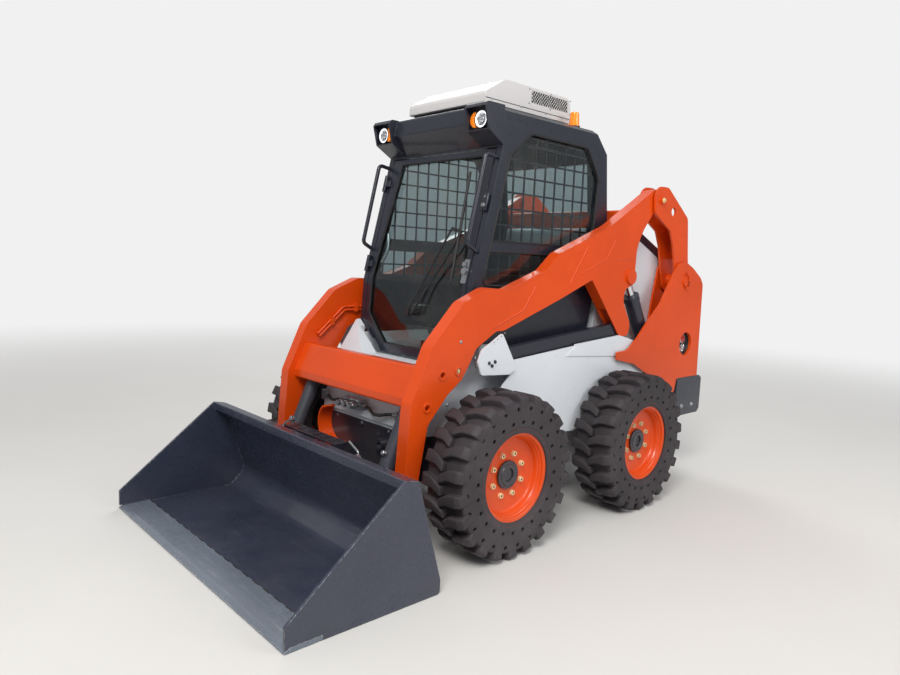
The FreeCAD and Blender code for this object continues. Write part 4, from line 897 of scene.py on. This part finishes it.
def headlamps():
    """Round lamps: black bezel, white light ring, ribbed reflector, projector, amber side lamp inboard."""
    bezel, ring, bowl, lens, amber = (bmesh.new() for _ in range(5))
    collar = [(0, 44.5), (15, 44.5), (15.9, 43.5), (15.9, 41), (11, 40), (0, 40)]
    for side in SIDES:
        place = facing(P(side * 389, -968, 2044), (0, -1, 0))
        turned(bezel, collar, place, closed=True)
        turned(ring, [(10, 40), (14, 39), (15, 36.5), (14, 33), (10, 31.5)], place, closed=True)
        turned(bowl, [(11, 31.5), (5, 24), (2, 15), (0.5, 14), (0.5, 31.5)], place, closed=True)
        turned(lens, [(0.6, 14), (7, 13.5), (10.5, 9), (11.5, 2)], place, 32)
        for sector in range(12):
            spin = Matrix.Rotation(2 * math.pi * sector / 12, 4, "X")
            block(bowl, shifted(place @ spin, 4.0, 0, 22.5), 6.0, 0.7, 8.0)
        side_lamp = facing(P(side * 352, -969, 2044), (0, -1, 0))
        across = -side * math.copysign(1.0, (side_lamp.to_3x3() @ Vector((0, 1, 0)))[0])
        for row in range(5):
            low = -37.0 + row * 15.0
            edge = [(38.5 * math.sqrt(1 - (z / 39.0) ** 2), z) for z in (low, low + 6.8, low + 13.6)]
            rib = [(0, low)] + edge + [(0, low + 13.6)]
            prism(amber, [(u * across, v) for u, v in rib], 13.0, side_lamp)
        back = [(0, -36), (24, -30), (36, 0), (24, 30), (0, 36)]
        prism(amber, [(u * across, v) for u, v in back], 11.0, side_lamp)
    for name, bm, key, bevel in (("bezel", bezel, "plastic", 0), ("light_ring", ring, "ring", 0),
                                 ("bowl", bowl, "mirror", 0), ("projector", lens, "mirror", 0),
                                 ("side_lamp", amber, "amber", 1.2)):
        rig.replaces(piece("headlamp_" + name, bm, key, "frame", bevel=bevel), "headlamps")


def tail_lamps():
    """Each round recess at the rear corner holds a red lamp above and a clear one below on a dark dish."""
    dish, red, clear, chrome = (bmesh.new() for _ in range(4))
    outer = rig.box("tail_lamps")[1][0] * 1000.0
    for place in on_sides(outer - 20.0, [(770, 882)]):
        turned(dish, [(0, 74.5), (17, 74.5), (19.5, 73), (19.5, 69.5), (6, 66), (6, 1)], place, 64)
        upper, lower = shifted(place, 6.0, 0, 31.0), shifted(place, 6.0, 0, -31.0)
        for spot in (upper, lower):
            turned(chrome, [(0, 29.0), (8.5, 29.0), (9.5, 28.0), (9.5, 26.5), (0, 26.0)], spot, 40, True)
        for step in range(5):
            r = 26.0 - 5.0 * step
            turned(red, [(0, r), (8.0 + step, r - 1.0), (9.0 + step, r - 3.0), (9.0 + step, 0.5)], upper, 32)
        turned(chrome, [(0.5, 25.8), (2.0, 12.0), (1.0, 1.0)], lower, 32)
        turned(clear, [(4.0, 25.9), (8.0, 24.0), (11.0, 16.0), (12.4, 6.0), (12.6, 0.5)], lower, 40)
    for name, bm, key in (("dish", dish, "plastic"), ("red", red, "red"), ("clear", clear, "lens"),
                          ("rings", chrome, "mirror")):
        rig.replaces(piece("tail_lamp_" + name, bm, key, "frame"), "tail_lamps")


def beacon():
    """The amber warning lamp: dark base with its screws, ribbed amber dome."""
    low, high = (Vector(corner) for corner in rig.box("beacon"))
    middle = (low + high) / 2
    foot = facing(Vector((middle.x, middle.y, low.z)), (0, 0, 1), (0, -1, 0))
    base, dome = bmesh.new(), bmesh.new()
    turned(base, [(0, 34.0), (10.0, 34.0), (12.0, 33.0), (14.5, 31.0), (14.5, 1.0)], foot, 48)
    for place in around(foot, 11.0, 32.2, 3, 0.0):
        dome_bolt(base, place, 3.0, 3.0)
    profile = [(14.5, 30.0), (18.0, 30.0)]
    for rib in range(9):
        x = 19.5 + rib * 7.0
        r = 29.2 - rib * 0.45
        profile += [(x, r - 0.9), (x + 3.5, r)]
    profile += [(83.0, 24.6), (87.5, 22.0), (89.6, 16.0), (90.0, 1.0)]
    turned(dome, profile, foot, 48)
    for name, bm, key in (("base", base, "plastic"), ("dome", dome, "amber")):
        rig.replaces(piece("beacon_" + name, bm, key, "frame"), "beacon")


def cushion(name, centre, half, lean, seam, crown):
    """A stuffed pad with a crowned face, sewn lines and a corded edge, from a rounded block."""
    bm = bmesh.new()
    bmesh.ops.create_cube(bm, size=2.0)
    bmesh.ops.subdivide_edges(bm, edges=bm.edges, cuts=34, use_grid_fill=True)
    turn = Matrix.Rotation(math.radians(lean), 4, "X")
    a, b, c = half
    for vert in bm.verts:
        x, y, z = vert.co
        s = (abs(x) ** 7 + abs(y) ** 7 + abs(z) ** 7) ** (-1 / 7)
        u, v, w = x * s, y * s, z * s
        face = max(0.0, w) ** 3
        lift = crown * face * (1 - 0.8 * u * u) * (1 - 0.7 * v * v) - crown * 0.6 * face
        lift -= 7.0 * face * math.exp(-((abs(u) * a - seam) / 7.0) ** 2)
        if abs(u) * a < seam:
            lift -= sum(5.0 * face * math.exp(-((v - line) * b / 7.0) ** 2) for line in (-0.33, 0.33))
        edge = math.exp(-((w - 0.72) * c / 4.0) ** 2) if max(abs(u), abs(v)) > 0.93 else 0.0
        wrinkle = 1.2 * math.sin(u * 9.0 + v * 3.0) * math.sin(v * 7.0) * face
        local = Vector((u * (a + 2.5 * edge), v * (b + 2.5 * edge), w * c + lift + wrinkle))
        vert.co = P(*centre) + (turn @ local) / 1000.0
    obj = piece(name, bm, "vinyl", "frame", smooth=60)
    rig.replaces(obj, "seat_cushions")
    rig.padded(obj, fill=0.8)


def seat():
    """The two cushions, and the belt laid over the lower one with its red buckle."""
    cushion("seat_cushion_lower", (0, -471, 742), (231, 205, 48), 0, 138.0, 14.0)
    cushion("seat_cushion_back", (0, -243, 1000), (220, 286, 36), 95, 128.0, 12.0)
    belt, buckle = bmesh.new(), bmesh.new()
    strap = [P(-236, -330, 700), P(-222, -360, 780), P(-150, -380, 797), P(0, -392, 802), P(60, -396, 801)]
    for start, end in zip(strap, strap[1:]):
        block(belt, facing(start, end - start), (end - start).length * 1000 + 1.5, 24.0, 1.1, -1.5)
    block(buckle, facing(P(60, -396, 803), (1, 0, 0)), 52.0, 27.0, 7.0, 0.0)
    piece("seat_belt", belt, "thread", "frame")
    piece("seat_belt_buckle", buckle, "red", "frame", bevel=2.0)


def hoses():
    """The two hoses in front of the bumper, with crimped ends."""
    routes = {
        "hose_left": (0.282, [(14, -1358, 603), (67.8, -1358, 603), (118.9, -1384.1, 586.1),
                              (178.1, -1384.1, 586.1), (229.2, -1358, 603), (283, -1358, 603)]),
        "hose_right": (0.180, [(-164, -1358, 603), (-198.4, -1358, 603), (-231.1, -1374.7, 592.2),
                               (-268.9, -1374.7, 592.2), (-301.6, -1358, 603), (-336, -1358, 603)]),
    }
    ferrule = [(-0.5, 9.2), (3.0, 9.2), (3.6, 10.6), (7.0, 10.9), (10.0, 10.3), (13.0, 10.9), (16.0, 10.3),
               (19.0, 10.9), (22.0, 10.2), (23.0, 8.4), (-0.5, 8.4)]
    ends = bmesh.new()
    for name, (length, route) in routes.items():
        curve = bpy.data.curves.new(name + "_cord", "CURVE")
        curve.dimensions = "3D"
        spline = curve.splines.new("NURBS")
        spline.points.add(len(route) - 1)
        for slot, point in zip(spline.points, route):
            slot.co = (*P(*point), 1.0)
        spline.order_u = 3
        spline.use_endpoint_u = True
        spline.resolution_u = 12
        curve.bevel_depth = 0.008
        curve.bevel_resolution = 6
        curve.use_fill_caps = True
        obj = add_to_scene(bpy.data.objects.new(name + "_cord", curve))
        curve.materials.append(M["hose"])
        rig.ride(obj, "frame")
        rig.slot(obj, SLOT["hose"])
        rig.replaces(obj, name)
        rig.cord(obj, exit=P(*route[0]), length=length, diameter=0.016, far_end="object", stiffness="stiff",
                lay="loose")
        way = math.copysign(1.0, route[-1][0] - route[0][0])
        for spot, turn in ((route[0], way), (route[-1], -way)):
            turned(ends, ferrule, facing(P(*spot), (turn, 0, 0)), 24, True)
    piece("hose_ferrules", ends, "steel", "frame", smooth=30)


def perforated(bm, matrix, width, height, columns, rows, radius):
    """A thin sheet centred on a matrix, with offset rows of round holes that have walls."""
    du, dv = width / columns, height / rows

    def ring(x, points):
        return [bm.verts.new(at((x, u, v), matrix)) for u, v in points]

    for row in range(rows):
        v0 = -height / 2 + row * dv
        shift = du / 2 if row % 2 else 0.0
        for column in range(columns):
            u0 = -width / 2 + column * du + shift
            if u0 + du > width / 2 + 0.01:
                for a, b in ((-width / 2, -width / 2 + shift), (u0, width / 2)):
                    bm.faces.new(ring(0, ((a, v0), (b, v0), (b, v0 + dv), (a, v0 + dv))))
                continue
            u1, v1 = u0 + du, v0 + dv
            cu, cv = u0 + du / 2, v0 + dv / 2
            cell = [(u0, v0), (cu, v0), (u1, v0), (u1, cv), (u1, v1), (cu, v1), (u0, v1), (u0, cv)]
            angles = [math.atan2(v - cv, u - cu) for u, v in cell]
            hole = [(cu + radius * math.cos(a), cv + radius * math.sin(a)) for a in angles]
            bridge(bm, ring(0, cell), ring(0, hole), ring(-3.0, hole))


def roof_details():
    """Pierced grilles in the roof unit's sides, their dark backing, the screws round them and the seam."""
    sheet, back, screws, seam = (bmesh.new() for _ in range(4))
    for side in SIDES:
        perforated(sheet, side_frame(299.2, -363.5, 2246.5, side), 311.0, 60.0, 16, 6, 7.0)
        block(back, side_frame(296.1, -363.5, 2246.5, side), 0.4, 155.0, 30.0, 0.0)
        tube(seam, [(side * 300.4, -868, 2182), (side * 300.4, -190, 2182)], 1.6)
    spots = [(y, z) for y in (-540, -190) for z in (2282, 2210)] + [(-363, 2286), (-363, 2208)]
    spots += [(y, 2178) for y in (-820, -600, -400, -210)]
    for place in on_sides(ROOF_UNIT_X, spots):
        dome_bolt(screws, place, 5.0, 2.2)
    piece("roof_unit_grille", sheet, "roof", "frame", smooth=30)
    piece("roof_unit_grille_back", back, "plastic", "frame")
    piece("roof_unit_screws", screws, "steel", "frame", smooth=30)
    piece("roof_unit_seam", seam, "gasket", "frame")


def gaskets():
    """Rubber beads round the side windows and the door's glass."""
    side_window = [(-985, 1240, 30), (-823, 1889, 30), (-674, 2011, 50), (-196, 2008, 50), (-78, 1850, 80),
                   (-132, 1240, 40)]
    beads = bmesh.new()
    for side in SIDES:
        for outline, radius, closed in ((rounded(side_window, 8), 6.0, True),
                                        ([(-948, 1408), (-124, 1408)], 4.0, False),
                                        ([(-936, 1460), (-120, 1460)], 4.0, False)):
            tube(beads, [(side * (CAB_X - 1.0), y, z) for y, z in outline], radius, closed)
    piece("window_gaskets", beads, "gasket", "frame", smooth=50)
    beads = bmesh.new()
    half = 376.0
    corners = [(-half, 1040), (146 - half, 886), (half - 146, 886), (half, 1040), (half, 1250),
               (half - 52, 1886), (52 - half, 1886), (-half, 1250)]
    points = []
    for (x0, z0), (x1, z1) in zip(corners, corners[1:] + corners[:1]):
        for k in range(8):
            points.append(on_front(x0 + (x1 - x0) * k / 8, z0 + (z1 - z0) * k / 8, -6.0))
    tube(beads, points, 6.0, closed=True)
    piece("door_gasket", beads, "gasket", "door", smooth=50)


def arm_details():
    """Pressed lines in the arm's outer plate and its small bolts."""
    lines = [
        [(-1013, 1044), (-799, 1124), (-746, 1197), (-715, 1243)],
        [(-910, 1225), (-638, 1325)],
        [(-434, 1265), (-292, 1466)],
        [(-338, 1316), (-120, 1397), (-43, 1507)],
        [(-23, 1395), (148, 1410)],
    ]
    ridge, bolts = bmesh.new(), bmesh.new()
    for side in SIDES:
        for line in lines:
            tube(ridge, [(side * (ARM_X - 1.2), y, z) for y, z in line], 3.6)
    for place in on_sides(ARM_X, ((-1220, 987), (-1120, 905), (-1290, 700))):
        dome_bolt(bolts, place, 8.0, 4.0)
    piece("arm_pressed_lines", ridge, "orange", "arms", smooth=60)
    piece("arm_bolts", bolts, "steel", "arms", smooth=30)


def door_details():
    """The catch with its knob on the near post, the pull inside the far edge and the wiper's motor cover."""
    catch, knob, pull, cover = (bmesh.new() for _ in range(4))
    spot = facing(P(*on_front(424, 1645, 6)), (0, -1, 0.24))
    block(catch, spot, 14.0, 15.0, 44.0, 0.0)
    turned(knob, [(14.0, 11.0), (22.0, 11.0), (25.0, 9.0), (25.0, 2.0)], shifted(spot, 0, 0, -18.0), 24)
    turned(knob, [(14.0, 6.0), (19.0, 6.0), (20.0, 4.0)], shifted(spot, 0, 0, 24.0), 20)
    grip = ((-352, 1500, -30), (-346, 1488, -34), (-338, 1430, -40), (-338, 1390, -40), (-346, 1350, -34),
            (-352, 1338, -30))
    tube(pull, [on_front(*point) for point in grip], 9.0)
    block(cover, facing(P(20, -1024, 1072), (0, 1, 0)), 60.0, 55.0, 42.0, 0.0)
    piece("door_catch", catch, "black", "frame", bevel=3.0)
    piece("door_catch_knob", knob, "steel", "frame", smooth=30)
    piece("door_pull", pull, "steel", "door", smooth=60)
    piece("wiper_motor", cover, "plastic", "door", bevel=8.0)


def hood_details():
    """The engine side covers' seals and catches, the rear links' pin caps and the towers' pin keepers."""
    seal, catches, caps, keepers = (bmesh.new() for _ in range(4))
    band = [(395, 1580), (640, 1474), (893, 1186), (893, 1100), (846, 1100), (846, 1168), (612, 1432),
            (385, 1530)]
    for side in SIDES:
        mirror = Matrix.Diagonal((side, 1.0, 1.0, 1.0))
        prism(seal, band, 2.0, Matrix.Translation(P(side * HOOD_X, 0, 0)) @ mirror)
        hex_bolt(caps, side_frame(598.0, 385, 1770, side), 19.0, 8.0)
        tube(keepers, [(side * 611.0, 706, 1342), (side * 613.5, 728, 1318), (side * 613.5, 738, 1286),
                       (side * 613.5, 728, 1254), (side * 611.0, 708, 1236)], 5.0)
    for place in on_sides(HOOD_X, ((60, 1180), (60, 1480), (700, 1180))):
        turned(catches, [(0, 13.0), (2.0, 13.0), (3.0, 11.0), (3.0, 2.0)], place, 24)
        block(catches, shifted(place, 3.0), 1.5, 1.5, 8.0, 0.0)
    piece("hood_seal", seal, "black", "frame")
    piece("hood_catches", catches, "gasket", "frame", smooth=30)
    piece("rear_link_pin_bolts", caps, "zinc", "rear_links", smooth=30)
    piece("tower_pin_keepers", keepers, "orange", "frame", smooth=60)


def rear_details():
    """The tailgate's latch and the catches along its lower edge."""
    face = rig.box("tailgate")[1][1] * 1000.0 - SHIFT
    latch, catches = bmesh.new(), bmesh.new()
    spot = facing(P(-392, face, 925), (0, 1, 0))
    prism(latch, rounded([(-24, -62, 10), (24, -62, 10), (24, 62, 10), (-24, 62, 10)], 5), 3.0, spot)
    prism(latch, rounded([(-15, -20, 6), (15, -20, 6), (15, 50, 6), (-15, 50, 6)], 4), 11.0, spot)
    for z in (-48.0, 48.0):
        dome_bolt(latch, shifted(spot, 3.0, 0, z), 4.5, 2.5)
    turned(catches, [(3.0, 9.0), (6.0, 9.0), (7.0, 7.5), (7.0, 2.0)], shifted(spot, 0, 0, -34.0), 24)
    for x in (-330.0, 0.0, 330.0):
        turned(catches, [(0, 12), (2, 12), (3, 10), (3, 2)], facing(P(x, face, 712), (0, 1, 0)), 24)
    piece("tailgate_latch", latch, "plastic", "tailgate", bevel=1.5)
    piece("tailgate_catches", catches, "steel", "tailgate", smooth=30)


def bucket_details():
    """Stitch welds along the cutting edge's joint and beads along the floor's two side edges."""
    stitches, beads = bmesh.new(), bmesh.new()
    for i in range(19):
        x = -810 + i * 90
        weld(stitches, P(x - 27, -2121, 17.5), P(x + 27, -2121, 17.5))
    for side in SIDES:
        weld(beads, P(side * 846, -2105, 14), P(side * 846, -1700, 14))
        weld(beads, P(side * 846, -2260, 22), P(side * 846, -2130, 22))
    piece("bucket_edge_stitches", stitches, "gasket", "bucket", smooth=50)
    piece("bucket_welds", beads, "bucket", "bucket", smooth=50)


def chassis_details():
    """Bolts on fin brackets, counterweight, bumper, cab and visor, and the pin in the arm's ringed hole."""
    bolts, dark, pin = bmesh.new(), bmesh.new(), bmesh.new()
    for place in on_sides(BRACKET_X, ((-1023, 979), (-999, 992), (-975, 1006), (-951, 1020))):
        dome_bolt(bolts, place, 4.0, 2.0)
    for place in on_sides(REAR_X, ((779, 468), (908, 468))):
        hex_bolt(bolts, place, 19.0, 8.0)
    for x in (-250.0, -25.0, 200.0):
        dome_bolt(bolts, facing(P(x, -1338, 505), (0, -1, 0)), 7.0, 4.0)
    for place in on_sides(BRACKET_X, ((-1050, 880), (-1030, 866), (-1010, 884))):
        hex_bolt(dark, place, 11.0, 5.0)
    for place in on_sides(CAB_X, ((-30, 1900), (-30, 1700), (-30, 1500), (-30, 1300))):
        dome_bolt(dark, place, 6.0, 2.5)
    for x in (-290.0, 0.0, 290.0):
        dome_bolt(dark, facing(P(x, -960, 2075), (0, -1, 0.2)), 5.0, 3.0)
    for place in on_sides(ARM_X - 4.0, [(-1226, 852)]):
        turned(pin, [(-16.0, 13.4), (0.0, 13.4), (2.0, 12.0), (2.0, 2.0)], place, 28)
        hex_bolt(pin, shifted(place, 2.0), 14.0, 5.0, washer=False)
    piece("body_bolts", bolts, "steel", "frame", smooth=30)
    piece("dark_bolts", dark, "black", "frame", smooth=30)
    piece("arm_hole_pins", pin, "zinc", "arms", smooth=30)


def cylinder_details():
    """Hose ports and gland rings on the tilt cylinders, in each barrel's own direction at rest."""
    base, eye = Vector((-1335.0, 800.0)), Vector((-1545.0, 310.0))
    run = (eye - base).normalized()
    out = Vector((run.y, -run.x))
    port = [(-4, 13), (7, 13), (7, 9.5), (13, 9.5), (13, 11.5), (20, 11.5), (22, 9), (22, 2)]
    gland = [(0, 36.0), (0, 38.5), (4.0, 39.0), (17.0, 39.0), (20.0, 37.5), (20.0, 36.0)]
    head = base + run * 404.0
    ports, bands = bmesh.new(), bmesh.new()
    for x in (410.0, -410.0):
        for along in (120.0, 372.0):
            spot = base + run * along + out * 36.0
            turned(ports, port, facing(P(x, *spot), (0, *out)), 20)
        turned(bands, gland, facing(P(x, *head), (0, *run)), 40, True)
    piece("tilt_cylinder_ports", ports, "steel", "tilt_barrels", smooth=30)
    piece("tilt_cylinder_glands", bands, "black", "tilt_barrels", smooth=30)


for build in (headlamps, tail_lamps, beacon, seat, hoses, roof_details, gaskets, arm_details, door_details,
              chassis_details, cylinder_details, hood_details, rear_details, bucket_details):
    build()


# Smooth shading on the imported parts, and the sizes written to extents.json

for name in NODES:
    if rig.alive(NODES[name]):
        soften(NODES[name], 35.0)

size = {"cad": [list(v) for v in cad_box], "visual": [list(v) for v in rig.bounds()]}
with open("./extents.json", "w") as out:
    json.dump(size, out)
